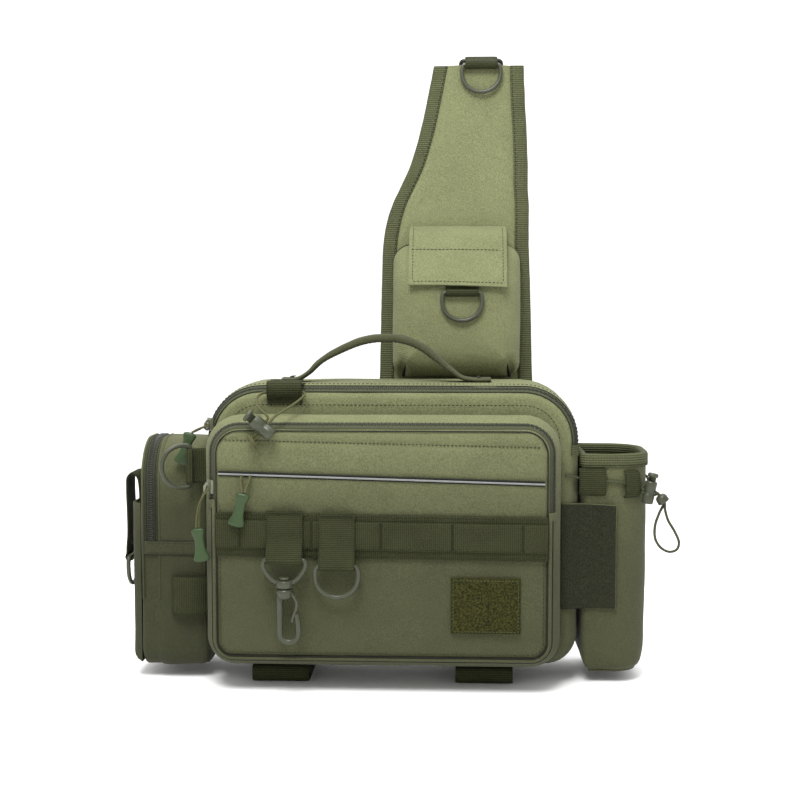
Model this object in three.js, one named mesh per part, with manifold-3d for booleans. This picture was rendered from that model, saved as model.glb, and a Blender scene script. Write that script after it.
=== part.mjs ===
import * as THREE from 'three';
import { mergeVertices } from 'three/addons/utils/BufferGeometryUtils.js';
import Module from 'manifold-3d';

// Sizes are in millimetres, with X to the right, Y to the back and Z up.
// The front panel of the front pocket lies at Y 0 and the floor at Z 0.

const GAP = 0.3;
const WEB = 1.4;
const CORNER_STEPS = 4;

// Main compartment
const MAIN = {
  centre: 4, half: 133.5, low: 13, high: 216,
  radii: { br: 24, tr: 40, tl: 40, bl: 24 },
};
const MAIN_BACK = 113;
const MAIN_OUTER = [
  { inset: 15, depth: 28.4 },
  { inset: 8.5, depth: 28.8 },
  { inset: 6.2, depth: 30.2 },
  { inset: 1.4, depth: 36.6 },
  { inset: 0.4, depth: 42 },
  { inset: 0, depth: 54 },
  { inset: 0, depth: 96 },
  { inset: 1.6, depth: 106 },
  { inset: 6, depth: 111.5 },
  { inset: 12, depth: MAIN_BACK },
];
const MAIN_INNER = [
  { inset: 10.4, depth: 30.4 },
  { inset: 7.7, depth: 31.4 },
  { inset: 2.9, depth: 37.8 },
  { inset: 1.8, depth: 54 },
  { inset: 1.8, depth: 96 },
  { inset: 7.4, depth: 109.6 },
  { inset: 13, depth: 111.1 },
];
const MAIN_ZIP = { inset: 3.8, depth: 33.4, width: 6.4, stopLeft: 171, stopRight: 171 };

// Front pocket
const FRONT = {
  centre: -1.8, half: 125, low: 17, high: 195.4,
  radii: { br: 21, tr: 26, tl: 26, bl: 21 },
};
const FRONT_OUTER = [
  { inset: 15, depth: 0 },
  { inset: 11, depth: 0.25 },
  { inset: 9.2, depth: 1.5 },
  { inset: 4.4, depth: 7.9 },
  { inset: 0.7, depth: 15 },
  { inset: 0, depth: 20 },
  { inset: 1.6, depth: 25 },
  { inset: 4, depth: 28 },
];
const FRONT_INNER = [
  { inset: 16, depth: 1.8 },
  { inset: 10.7, depth: 2.5 },
  { inset: 5.9, depth: 9 },
  { inset: 2.5, depth: 15.4 },
  { inset: 1.8, depth: 20 },
  { inset: 5.6, depth: 30 },
];
const FRONT_ZIP = { inset: 6.8, depth: 4.7, width: 6.4, stopLeft: 136, stopRight: 128 };

// Zip bevels of the main compartment and the front pocket lean by this share of inset to depth.
const BEVEL = { inset: 0.6, depth: 0.8 };

// Left pouch, seen from the side, with Y across and Z up
const POUCH = {
  centre: 72, half: 38, low: 8, high: 175,
  radii: { br: 16, tr: 30, tl: 30, bl: 16 },
};
const POUCH_SIDE = MAIN.centre - MAIN.half - 0.4;
const POUCH_OUTER = [
  { inset: 3, depth: 0 },
  { inset: 0.6, depth: 4 },
  { inset: 0, depth: 10 },
  { inset: 0, depth: 34.6 },
  { inset: 0.9, depth: 46.4 },
  { inset: 4, depth: 48.4 },
  { inset: 12, depth: 48.9 },
];
const POUCH_INNER = [
  { inset: 4.8, depth: -1 },
  { inset: 1.8, depth: 10 },
  { inset: 1.8, depth: 34.6 },
  { inset: 2.7, depth: 45.4 },
  { inset: 5, depth: 46.7 },
  { inset: 12.4, depth: 47.1 },
];
const POUCH_ZIP = { near: 35.4, far: 45.6, over: -2, under: 4, face: 0.5, back: 1.6, stop: 101 };

// Slip pocket on the outer face of the left pouch
const SLIP = {
  centre: 72, half: 34, low: 12, high: 129,
  radii: { br: 12, tr: 2, tl: 2, bl: 12 },
};
const SLIP_OUTER = [
  { inset: 1, depth: 49.2 },
  { inset: 0, depth: 52 },
  { inset: 3, depth: 55.4 },
  { inset: 9, depth: 56.4 },
];
const SLIP_INNER = [
  { inset: 2.4, depth: 48 },
  { inset: 1.5, depth: 51.8 },
  { inset: 4, depth: 54 },
  { inset: 9.6, depth: 54.9 },
];
const SLIP_OPEN = 20;

// Bottle pocket, seen from above, with X across and Y to the back
const BOTTLE = {
  centre: MAIN.centre + MAIN.half + 25.9, half: 23.9, low: 34, high: 110,
  radii: { br: 23, tr: 23, tl: 4, bl: 4 },
};
const BOTTLE_RIM = 165;
const BOTTLE_OUTER = [
  { inset: 13, depth: 8.3 },
  { inset: 8, depth: 8.7 },
  { inset: 3.5, depth: 12 },
  { inset: 1.2, depth: 20 },
  { inset: 0, depth: 40 },
  { inset: 0, depth: 150 },
  { inset: 0.3, depth: BOTTLE_RIM },
];
const BOTTLE_INNER = [
  { inset: 14, depth: 10.3 },
  { inset: 9, depth: 10.7 },
  { inset: 5.3, depth: 13.5 },
  { inset: 3, depth: 21 },
  { inset: 1.8, depth: 40 },
  { inset: 1.8, depth: 150 },
  { inset: 2.1, depth: BOTTLE_RIM + 5 },
];
const RIM = { low: 157, lowInside: 158.5, top: 166.5, outside: -1.5, inside: 3.5 };

// Shoulder strap, in its own leaning frame with X across, Y through and Z along the strap
const STRAP_FOOT = { y: 116.5, z: 212 };
const STRAP_LEAN = THREE.MathUtils.degToRad(6.4);
const STRAP_EDGES = [
  { along: -12, left: -10, right: 109 },
  { along: 14, left: -9.3, right: 108 },
  { along: 53, left: -8.7, right: 107.2 },
  { along: 84, left: -8.1, right: 106.4 },
  { along: 107, left: -7.4, right: 105.6 },
  { along: 123, left: -5.2, right: 105.6 },
  { along: 139, left: -0.6, right: 105.6 },
  { along: 154, left: 6.3, right: 104.8 },
  { along: 170, left: 13.3, right: 104.8 },
  { along: 193, left: 20.2, right: 104 },
  { along: 225, left: 27.1, right: 102.4 },
  { along: 248.5, left: 31.6, right: 101.6 },
];
const PAD = { thick: 7.6, edgeFront: 2.4, edgeBack: 5.2, edgeWidth: 10.5, shoulder: 13 };
const BINDING = { thick: 1, reach: 10.2, over: 1.3 };

// Pouch on the strap
const PHONE = {
  centre: 49.8, half: 48.8, low: 4.6, high: 107,
  radii: { br: 12, tr: 14, tl: 14, bl: 12 },
};
const PHONE_OUTER = [
  { inset: 1.5, depth: 0.3 },
  { inset: 0, depth: 5 },
  { inset: 0.5, depth: 14 },
  { inset: 4, depth: 21.5 },
  { inset: 9, depth: 25.3 },
  { inset: 14, depth: 26.5 },
];
const PHONE_INNER = [
  { inset: 3, depth: -2 },
  { inset: 1.6, depth: 5 },
  { inset: 2.1, depth: 14 },
  { inset: 5.4, depth: 20.3 },
  { inset: 10, depth: 23.8 },
  { inset: 14.6, depth: 24.9 },
];
const PHONE_TAPER = { from: 70, to: 107, share: 0.55 };
const PHONE_MOUTH = { left: 17, right: 83, near: 2.4, far: 20.5, high: 12 };
const FLAP = { left: 13.5, right: 88, thick: 1.6 };
const FLAP_PATH = [
  { y: -0.8, z: 121.4 },
  { y: -8, z: 117.5 },
  { y: -14, z: 112.5 },
  { y: -17.4, z: 105.5 },
  { y: -22.4, z: 93 },
  { y: -27.8, z: 80 },
  { y: -30.6, z: 71.5 },
];

// Rings and webbing tabs
const RING = { half: 14.9, drop: 21.4, wire: 1.6, sides: 6 };
const LUG = { hole: 2.05, outer: 3.3 };
const TAB_WIDTH = 25;
const FRONT_TAB = { centre: -32.2, top: 129, strapY: -4.6, barY: -6.05, barZ: 92.2 };
const HOOK_TAB = { centre: -68.2, top: 130.8, strapY: -4.6, barY: -8.2, barZ: 97 };
const PHONE_TAB = { centre: 54, barY: -30.1, barZ: 66.9 };
const TOP_TAB = { centre: 68.5, frontY: -3.6, frontZ: 248, backY: 6.8, backZ: 254 };
const FRONT_LEFT = FRONT.centre - FRONT.half;
const SIDE_TAB = { x: FRONT_LEFT - 12.2, y: 24.6, z: 157.7, width: 25, turn: THREE.MathUtils.degToRad(30) };
const OUTER_TAB = { x: POUCH_SIDE - 60.1, y: 60, z: 87.4 };

// Webbing bands on the front panel; each drops a little toward the right
const BAND_LEFT = -116;
const BAND_RIGHT = 113;
const MOLLE_BASE = { low: 96.9, high: 127.6, slope: -0.0105, front: -1.65, back: -0.35 };
const MOLLE_BAND = { low: 102.9, high: 122.6, seam: -2.6, crown: -3.02, thick: 1.2 };
const MOLLE_SEAMS = [-100, -50, -1.8, 47.5, 96];
const REFLECTIVE = { left: -115, right: 111, middle: 152.2, height: 2.2, slope: -0.0275, thick: 0.5 };
const PATCH = { left: 46.6, right: 94.6, low: 45, high: 83.8, thick: 1.9 };

// Swivel hook, hanging from the hook tab
const HOOK = {
  plateTop: 14.2, plateLow: 19.4, collar: 5.7, pin: 2, bore: 2.4, head: 3.6, headHigh: 2,
  neckTop: 20.4, neckLow: 26, neckHalf: 5.8, neckDeep: 3.4,
  legX: -3.2, bowZ: -50.8, bowRadius: 6.4, bowX: 3.2, wire: 2.05, tip: -37.5,
};
const GATE = { x: 4, z: -23.2, knuckle: 1.9, hole: 1.15, pin: 0.8, thick: 1.6, width: 2.4 };

// Cord locks
const ROD_LOCK_SIZE = {
  radius: 4.9, length: 17, bore: 3.45, floor: 3, stem: 3.1, cap: 4.3, capHigh: 2.6,
  travel: 3, slotLong: 5, slotWide: 2.6,
};
const HOLDER_LOCK_SIZE = {
  radius: 4.2, length: 16.4, bore: 3.05, floor: 3, stem: 2.75, cap: 3.8, capHigh: 2.6,
  travel: 2.6, slotLong: 5, slotWide: 3.1,
};
const ROD_LOCK = { x: -82.6, y: -6.4, z: 187.9, turn: THREE.MathUtils.degToRad(-50.2) };
const HOLDER_LOCK = { x: 187.3, y: 36.3, z: 139.2, turn: THREE.MathUtils.degToRad(12) };

// Cord routes, each a smooth line through hand-placed points
const ROD_CORD = { radius: 0.9, steps: 38 };
const ROD_CORD_ROUTE = [
  [-84.4, -5.8, 168.6], [-86, -6.1, 171.6], [-88.2, -6.4, 174.8], [-89.6, -6.4, 177.9],
  [-87.5, -6.4, 180.3], [-85.6, -6.4, 182.6], [-81.8, -6.4, 187.2], [-77.9, -6.4, 191.8],
  [-74.4, -4.4, 195.8], [-66, 5, 201.2], [-59.6, 15, 206], [-56.6, 21.4, 209.4],
  [-58.4, 24.4, 210.6], [-64, 25, 210.4], [-72, 25, 210.3], [-80, 25, 210.3],
  [-86, 24.4, 210.2], [-89.2, 19.8, 208.6], [-89.6, 12, 205.6], [-87.4, 4, 202],
  [-83.6, -2.4, 199.2], [-80.2, -6, 197], [-78.8, -6.5, 194.7], [-80.4, -6.4, 192.3],
  [-83.4, -6.4, 188.6], [-87.2, -6.4, 184], [-89.2, -6.4, 181.7], [-90.4, -6.4, 180.2],
];
const ROD_KNOT = { x: -89.6, y: -6.4, z: 179.5, radius: 3.4, wire: 1.05 };
const DRAWCORD = { radius: 1, steps: 66 };
const DRAWCORD_ROUTE = [
  [127, 26.4, 152], [131, 28, 151.4], [134.2, 30.8, 150.4], [137.4, 32, 149.5],
  [146, 31.9, 148.2], [156, 31.9, 147.6], [164, 32.1, 147], [170, 33.1, 146],
  [175.4, 35.2, 144.6], [180.2, 37.9, 142.6], [183.1, 36.4, 141.2], [187.5, 36.3, 140.3],
  [191.9, 36.2, 139.3], [193.5, 35.8, 138.4], [194.8, 35.5, 136.6], [196.2, 35.4, 134.6],
  [198.1, 35.4, 131.9], [198.4, 35.6, 127.5], [200.9, 36.2, 119.1], [205.2, 36.6, 111.9],
  [208.8, 36.8, 103.3], [207.4, 36.9, 98.2], [202.4, 37, 96.4], [196.6, 37.1, 98.9],
  [192.2, 37.2, 105.4], [191.8, 37.4, 114.8], [194.9, 37.7, 124.5], [198.1, 37.8, 131.9],
  [196.2, 37.8, 134.6], [194.7, 37.7, 136.8], [193.1, 37.2, 137.9], [191.3, 36.5, 137.3],
  [187.1, 36.3, 138.1], [182.8, 36.3, 139.1], [181.3, 38.3, 139.7], [182.6, 41.2, 141],
  [185.8, 44.6, 143], [188.4, 51, 145.6], [189.2, 60, 147], [189.2, 74, 147],
  [189.2, 86, 147], [186.4, 98, 147], [178, 107.6, 147], [166, 111.9, 147],
  [152, 112.2, 147], [142, 112.2, 147],
];
const STOPPER = { x: 196.2, y: 36.6, z: 134.6, radius: 4.4, turn: THREE.MathUtils.degToRad(-35) };

// Colours as linear material values
const COLOURS = {
  fabric: { colour: 0x6b7049, roughness: 0.85, metalness: 0 },
  webbing: { colour: 0x3f4328, roughness: 0.8, metalness: 0 },
  zip: { colour: 0x4b5644, roughness: 0.6, metalness: 0 },
  grip: { colour: 0x3f5a3c, roughness: 0.45, metalness: 0 },
  plastic: { colour: 0x565a48, roughness: 0.4, metalness: 0 },
  metal: { colour: 0x6d7263, roughness: 0.35, metalness: 0.8 },
  cord: { colour: 0x5a5f3c, roughness: 0.75, metalness: 0 },
  patch: { colour: 0x3c4020, roughness: 0.95, metalness: 0 },
  panel: { colour: 0x3b3e2e, roughness: 0.95, metalness: 0 },
  reflective: { colour: 0xc9ccc4, roughness: 0.3, metalness: 0 },
  black: { colour: 0x16180f, roughness: 0.4, metalness: 0 },
};

const wasm = await Module();
wasm.setup();

const vec = (x, y, z) => new THREE.Vector3(x, y, z);

// Solids and set operations

function toSolid(geometry) {
  const bare = geometry.clone();
  bare.deleteAttribute('normal');
  bare.deleteAttribute('uv');
  const merged = mergeVertices(bare, 1e-4);
  const faces = [];
  for (let i = 0; i < merged.index.count; i += 3) {
    const [a, b, c] = [0, 1, 2].map((k) => merged.index.getX(i + k));
    if (a !== b && b !== c && c !== a) {
      faces.push(a, b, c);
    }
  }
  const mesh = new wasm.Mesh({
    numProp: 3,
    vertProperties: new Float32Array(merged.attributes.position.array),
    triVerts: new Uint32Array(faces),
  });
  return new wasm.Manifold(mesh);
}

function toGeometry(solid) {
  const mesh = solid.getMesh();
  const geometry = new THREE.BufferGeometry();
  geometry.setAttribute('position', new THREE.BufferAttribute(mesh.vertProperties, 3));
  geometry.setIndex(new THREE.BufferAttribute(mesh.triVerts, 1));
  geometry.computeVertexNormals();
  return geometry;
}

function cut(base, ...tools) {
  return toGeometry(tools.reduce((solid, tool) => solid.subtract(toSolid(tool)), toSolid(base)));
}

function join(base, ...others) {
  return toGeometry(others.reduce((solid, other) => solid.add(toSolid(other)), toSolid(base)));
}

// Lofts through closed sections that all have the same number of points

function sectionNormal(points) {
  const normal = vec(0, 0, 0);
  points.forEach((p, i) => {
    const q = points[(i + 1) % points.length];
    normal.add(vec((p.y - q.y) * (p.z + q.z), (p.z - q.z) * (p.x + q.x), (p.x - q.x) * (p.y + q.y)));
  });
  return normal.normalize();
}

function capFaces(points, offset, outward) {
  const normal = sectionNormal(points);
  const side = Math.abs(normal.z) > 0.9 ? vec(1, 0, 0) : vec(0, 0, 1);
  const u = side.clone().cross(normal).normalize();
  const v = normal.clone().cross(u);
  const flat = points.map((p) => new THREE.Vector2(p.dot(u), p.dot(v)));
  const faces = THREE.ShapeUtils.triangulateShape(flat, []);
  return faces.flatMap(([a, b, c]) => {
    const ab = flat[b].clone().sub(flat[a]);
    const ac = flat[c].clone().sub(flat[a]);
    const positive = ab.cross(ac) > 0;
    const face = positive === outward ? [a, b, c] : [a, c, b];
    return face.map((i) => i + offset);
  });
}

function signedVolume(position, index) {
  let volume = 0;
  for (let i = 0; i < index.length; i += 3) {
    const [a, b, c] = [0, 1, 2].map((k) => {
      const at = index[i + k] * 3;
      return vec(position[at], position[at + 1], position[at + 2]);
    });
    volume += a.dot(b.cross(c));
  }
  return volume;
}

function loft(sections, closed = false) {
  const count = sections[0].length;
  const position = sections.flatMap((ring) => ring.flatMap((p) => [p.x, p.y, p.z]));
  let index = [];
  const spans = closed ? sections.length : sections.length - 1;
  for (let s = 0; s < spans; s += 1) {
    const a = s * count;
    const b = ((s + 1) % sections.length) * count;
    for (let i = 0; i < count; i += 1) {
      const j = (i + 1) % count;
      index.push(a + i, a + j, b + j, a + i, b + j, b + i);
    }
  }
  if (!closed) {
    index = index.concat(capFaces(sections[0], 0, false));
    index = index.concat(capFaces(sections[spans], spans * count, true));
  }
  if (signedVolume(position, index) < 0) {
    index.reverse();
  }
  const geometry = new THREE.BufferGeometry();
  geometry.setAttribute('position', new THREE.Float32BufferAttribute(position, 3));
  geometry.setIndex(index);
  geometry.computeVertexNormals();
  return geometry;
}

// Rounded outlines; inset moves the whole outline inward

function cornerArc(form, name, inset, reverse = false) {
  const right = name.endsWith('r');
  const top = name.startsWith('t');
  const radius = Math.max(form.radii[name] - inset, 0.6);
  const u = right ? form.centre + form.half - inset - radius : form.centre - form.half + inset + radius;
  const v = top ? form.high - inset - radius : form.low + inset + radius;
  const starts = { br: -90, tr: 0, tl: 90, bl: 180 };
  const points = [];
  for (let i = 0; i <= CORNER_STEPS; i += 1) {
    const angle = THREE.MathUtils.degToRad(starts[name] + (90 * i) / CORNER_STEPS);
    points.push([u + radius * Math.cos(angle), v + radius * Math.sin(angle)]);
  }
  return reverse ? points.reverse() : points;
}

function outline(form, inset) {
  return ['br', 'tr', 'tl', 'bl'].flatMap((name) => cornerArc(form, name, inset));
}

function arch(form, inset, stopLeft, stopRight) {
  const left = form.centre - form.half + inset;
  const right = form.centre + form.half - inset;
  return [
    [left, stopLeft],
    ...cornerArc(form, 'tl', inset, true),
    ...cornerArc(form, 'tr', inset, true),
    [right, stopRight],
  ];
}

const onFront = (u, v, depth) => vec(u, depth, v);
const onLeft = (u, v, depth) => vec(POUCH_SIDE - depth, u, v);
const onTop = (u, v, depth) => vec(u, v, depth);
const onStrap = (u, v, depth) => vec(u, -depth, v);

function bulge(form, rows, place) {
  return loft(rows.map((row) => outline(form, row.inset).map(([u, v]) => place(u, v, row.depth))));
}

function archBand(form, section, stopLeft, stopRight, place) {
  const lines = section.map((row) => arch(form, row.inset, stopLeft, stopRight));
  const rings = lines[0].map((_, i) => section.map((row, k) => place(lines[k][i][0], lines[k][i][1], row.depth)));
  return loft(rings);
}

// A section across a zip bevel: reach is along the bevel, over and under are through the wall.
function bevelSection(zip, half, over, under) {
  const along = (t) => ({ inset: zip.inset - BEVEL.inset * t, depth: zip.depth + BEVEL.depth * t });
  const corner = (t, out) => {
    const base = along(t);
    return { inset: base.inset - BEVEL.depth * out, depth: base.depth - BEVEL.inset * out };
  };
  return [corner(-half, over), corner(half, over), corner(half, -under), corner(-half, -under)];
}

// Prisms from flat outlines

const PLANES = {
  xz: new THREE.Matrix4().makeBasis(vec(1, 0, 0), vec(0, 0, 1), vec(0, -1, 0)),
  yz: new THREE.Matrix4().makeBasis(vec(0, 1, 0), vec(0, 0, 1), vec(1, 0, 0)),
  xy: new THREE.Matrix4(),
};

function prism(points, holes, width, plane, centre) {
  const shape = new THREE.Shape(points.map(([a, b]) => new THREE.Vector2(a, b)));
  shape.holes = holes.map((hole) => new THREE.Path(hole.map(([a, b]) => new THREE.Vector2(a, b))));
  const geometry = new THREE.ExtrudeGeometry(shape, { depth: width, bevelEnabled: false });
  geometry.translate(0, 0, -width / 2);
  geometry.applyMatrix4(PLANES[plane]);
  const shift = { xz: [0, centre, 0], yz: [centre, 0, 0], xy: [0, 0, centre] }[plane];
  geometry.translate(...shift);
  return geometry;
}

function smooth(points, steps) {
  const curve = new THREE.SplineCurve(points.map(([a, b]) => new THREE.Vector2(a, b)));
  return curve.getSpacedPoints(steps).map((p) => [p.x, p.y]);
}

function stripOutline(path, thick) {
  const normals = path.slice(1).map(([a, b], i) => {
    const side = new THREE.Vector2(path[i][1] - b, a - path[i][0]);
    return side.normalize();
  });
  const sides = path.map(([a, b], i) => {
    const before = normals[Math.max(i - 1, 0)];
    const after = normals[Math.min(i, normals.length - 1)];
    const middle = before.clone().add(after).normalize();
    const reach = thick / 2 / Math.max(middle.dot(after), 0.5);
    return { near: [a + middle.x * reach, b + middle.y * reach], far: [a - middle.x * reach, b - middle.y * reach] };
  });
  return [...sides.map((s) => s.near), ...sides.map((s) => s.far).reverse()];
}

function strip(path, thick, width, plane, centre) {
  return prism(stripOutline(path, thick), [], width, plane, centre);
}

function circle(x, y, radius, sides) {
  return Array.from({ length: sides }, (_, i) => {
    const angle = (2 * Math.PI * (i + 0.5)) / sides;
    return [x + radius * Math.cos(angle), y + radius * Math.sin(angle)];
  });
}

function bore(a, b, width, plane, centre) {
  return prism(circle(a, b, LUG.hole, 8), [], width, plane, centre);
}

// A webbing strip whose end is folded around a bar
function tab(path, bar, thick, width, plane, centre) {
  const band = strip(path, thick, width, plane, centre);
  const eye = prism(circle(bar[0], bar[1], LUG.outer, 12), [], width, plane, centre);
  return cut(join(band, eye), bore(bar[0], bar[1], width + 4, plane, centre));
}

// Round stock bent along a flat line in the XZ plane
function bentWire(path, radius, sides, closed) {
  const rings = path.map(([x, z], i) => {
    const last = path.length - 1;
    const before = path[closed ? (i + last) % path.length : Math.max(i - 1, 0)];
    const after = path[closed ? (i + 1) % path.length : Math.min(i + 1, last)];
    const across = new THREE.Vector2(before[1] - after[1], after[0] - before[0]).normalize();
    return Array.from({ length: sides }, (_, k) => {
      const angle = (2 * Math.PI * (k + 0.5)) / sides;
      const out = radius * Math.cos(angle);
      return vec(x + across.x * out, radius * Math.sin(angle), z + across.y * out);
    });
  });
  return loft(rings, closed);
}

function cordTube(route, radius, steps) {
  const path = new THREE.CatmullRomCurve3(route.map((p) => vec(...p)), false, 'centripetal');
  const shape = new THREE.Shape(circle(0, 0, radius, 8).map(([a, b]) => new THREE.Vector2(a, b)));
  return new THREE.ExtrudeGeometry(shape, { steps, bevelEnabled: false, extrudePath: path });
}

function rotationSolid(profile, sides) {
  const geometry = new THREE.LatheGeometry(profile.map(([r, z]) => new THREE.Vector2(r, z)), sides);
  geometry.rotateX(Math.PI / 2);
  return signedVolume(geometry.attributes.position.array, geometry.index.array) < 0
    ? geometry.scale(1, -1, 1)
    : geometry;
}

function box(x0, x1, y0, y1, z0, z1) {
  const geometry = new THREE.BoxGeometry(x1 - x0, y1 - y0, z1 - z0);
  geometry.translate((x0 + x1) / 2, (y0 + y1) / 2, (z0 + z1) / 2);
  return geometry;
}

function slope(geometry, drop) {
  return geometry.applyMatrix4(new THREE.Matrix4().set(1, 0, 0, 0, 0, 1, 0, 0, drop, 0, 1, 0, 0, 0, 0, 1));
}

function piece(name, geometry, look) {
  const material = new THREE.MeshStandardMaterial({
    color: COLOURS[look].colour,
    roughness: COLOURS[look].roughness,
    metalness: COLOURS[look].metalness,
  });
  const mesh = new THREE.Mesh(geometry, material);
  mesh.name = name;
  return mesh;
}

function placed(mesh, x, y, z) {
  mesh.position.set(x, y, z);
  return mesh;
}

// Main compartment

function mainShell() {
  const slot = archBand(MAIN, bevelSection(MAIN_ZIP, MAIN_ZIP.width / 2, 2, 4.6),
    MAIN_ZIP.stopLeft - GAP, MAIN_ZIP.stopRight - GAP, onFront);
  return cut(bulge(MAIN, MAIN_OUTER, onFront), bulge(MAIN, MAIN_INNER, onFront), slot);
}

function zipBand(form, zip) {
  const section = bevelSection(zip, zip.width / 2 - GAP, 0.4, 1.1);
  return archBand(form, section, zip.stopLeft, zip.stopRight, onFront);
}

function zipEndTab() {
  const section = bevelSection(MAIN_ZIP, 4.4, 2.1, -0.8);
  const x = (row) => MAIN.centre + MAIN.half - row.inset;
  const low = section.map((row) => vec(x(row), row.depth, 165.3));
  const high = section.map((row) => vec(x(row), row.depth, 173.1));
  return loft([low, high]);
}

// A slider: a plate over the zip and an eye that stands off it
function slider() {
  const plate = box(-3.2, 3.2, -2.4, -0.7, -4.6, 4.6);
  const eye = prism(
    [[-2.2, -3.4], [-2.2, 2.6], [-4.2, 3.4], [-6.4, 0.6], [-6.4, -3], [-4.4, -4.6]],
    [[[-2.9, -2.2], [-2.9, 1.2], [-4.2, 1.8], [-5.2, 0], [-5.2, -2.4], [-4.2, -3.2]]],
    1.8, 'yz', 0,
  );
  return join(plate, eye);
}

const SLIDER_TURN = -Math.atan2(BEVEL.depth, BEVEL.inset);

// Sink moves a slider inward to follow the zip where it bends into a corner.
function placedSlider(name, form, zip, z, sink) {
  const mesh = piece(name, slider(), 'metal');
  const left = form.centre - form.half + zip.inset;
  mesh.position.set(left + BEVEL.depth * sink, zip.depth + BEVEL.inset * sink, z);
  mesh.rotation.z = SLIDER_TURN;
  return mesh;
}

const GRIP_ROWS = [
  { z: 0, wide: 3.1, deep: 2 },
  { z: -1.6, wide: 3.9, deep: 2.3 },
  { z: -6.5, wide: 2.7, deep: 1.9 },
  { z: -15.5, wide: 3.1, deep: 2 },
  { z: -20, wide: 4.6, deep: 2.3 },
  { z: -23, wide: 3.8, deep: 1.9 },
];

function grip() {
  return loft(GRIP_ROWS.map((row) => circle(0, 0, 1, 8).map(([a, b]) => vec(a * row.wide, b * row.deep, row.z))));
}

function placedGrip(name, x, y, z, turn) {
  const mesh = placed(piece(name, grip(), 'grip'), x, y, z);
  mesh.rotation.y = THREE.MathUtils.degToRad(turn);
  return mesh;
}

const HANDLE_PATH = [
  [-77, 218], [-66, 218.3], [-58, 223], [-49.2, 231.4], [-34.5, 239.8], [-19.1, 246], [-4.5, 248.3],
  [10.2, 247.3], [22.6, 242.8], [34.2, 234.6], [46, 225], [54, 219.6], [62, 218], [75, 218],
];

function carryHandle() {
  return strip(smooth(HANDLE_PATH, 30), 3.2, 21, 'xz', 60);
}

const ROD_LOOP_PATH = [
  [46, 217.3], [34, 217.6], [27, 218.2], [22.8, 217.2], [21.6, 213.6], [23.2, 209], [26.4, 205.6], [27.3, 202],
];

function rodLoop() {
  return strip(smooth(ROD_LOOP_PATH, 16), WEB, TAB_WIDTH, 'yz', -71.6);
}

function mainGroup() {
  const group = new THREE.Group();
  group.name = 'main_compartment';
  group.add(piece('main_shell', mainShell(), 'fabric'));
  group.add(piece('main_zipper', zipBand(MAIN, MAIN_ZIP), 'zip'));
  group.add(piece('zip_end_tab', zipEndTab(), 'webbing'));
  group.add(placedSlider('main_slider', MAIN, MAIN_ZIP, 187, 0.9));
  group.add(piece('main_pull_cord', cordTube(MAIN_PULL_ROUTE, 0.8, 10), 'cord'));
  group.add(placedGrip('main_pull_grip', -140.2, 31, 180.6, 18));
  group.add(piece('carry_handle', carryHandle(), 'fabric'));
  group.add(piece('rod_loop', rodLoop(), 'webbing'));
  return group;
}

const MAIN_PULL_ROUTE = [
  [-139, 30, 181.2], [-135, 28.6, 183.4], [-130.4, 28.1, 185.2], [-127, 29.8, 185.8],
  [-128.2, 31.5, 187], [-129.5, 33.1, 185.8], [-132.9, 33.3, 184], [-136.8, 32.6, 182], [-139, 32, 181.2],
];

// Front pocket

function frontShell() {
  const slot = archBand(FRONT, bevelSection(FRONT_ZIP, FRONT_ZIP.width / 2, 2, 4.6),
    FRONT_ZIP.stopLeft - GAP, FRONT_ZIP.stopRight - GAP, onFront);
  return cut(bulge(FRONT, FRONT_OUTER, onFront), bulge(FRONT, FRONT_INNER, onFront), slot);
}

function molleBase() {
  const plate = box(BAND_LEFT, BAND_RIGHT, MOLLE_BASE.front, MOLLE_BASE.back, MOLLE_BASE.low, MOLLE_BASE.high);
  return slope(plate, MOLLE_BASE.slope);
}

function molleBand() {
  const stops = [BAND_LEFT, ...MOLLE_SEAMS, BAND_RIGHT];
  const path = stops.flatMap((x, i) => {
    const next = stops[i + 1];
    const here = [[x, MOLLE_BAND.seam]];
    return next === undefined ? here : [...here, [(x + next) / 2, MOLLE_BAND.crown]];
  });
  const height = MOLLE_BAND.high - MOLLE_BAND.low;
  const band = strip(path, MOLLE_BAND.thick, height, 'xy', (MOLLE_BAND.high + MOLLE_BAND.low) / 2);
  return slope(band, MOLLE_BASE.slope);
}

function reflectiveStrip() {
  const half = REFLECTIVE.height / 2;
  const strip3 = box(REFLECTIVE.left, REFLECTIVE.right, -GAP - REFLECTIVE.thick, -GAP,
    REFLECTIVE.middle - half, REFLECTIVE.middle + half);
  return slope(strip3, REFLECTIVE.slope);
}

function hangingTab(at) {
  const path = [
    [at.strapY, at.top], [at.strapY, at.barZ + 9],
    [(at.strapY + at.barY) / 2, at.barZ + 5], [at.barY + 0.8, at.barZ + 2],
  ];
  return tab(path, [at.barY, at.barZ], WEB, TAB_WIDTH, 'yz', at.centre);
}

const RING_LINE = [
  [-11.6, 0], [-14, -0.9], [-14.9, -3.4], [-14.9, -8], [-13.6, -13], [-10.2, -17.6], [-5.4, -20.4],
  [0, -21.4], [5.4, -20.4], [10.2, -17.6], [13.6, -13], [14.9, -8], [14.9, -3.4], [14, -0.9], [11.6, 0],
];

function ring() {
  return bentWire(RING_LINE, RING.wire, RING.sides, true);
}

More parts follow.
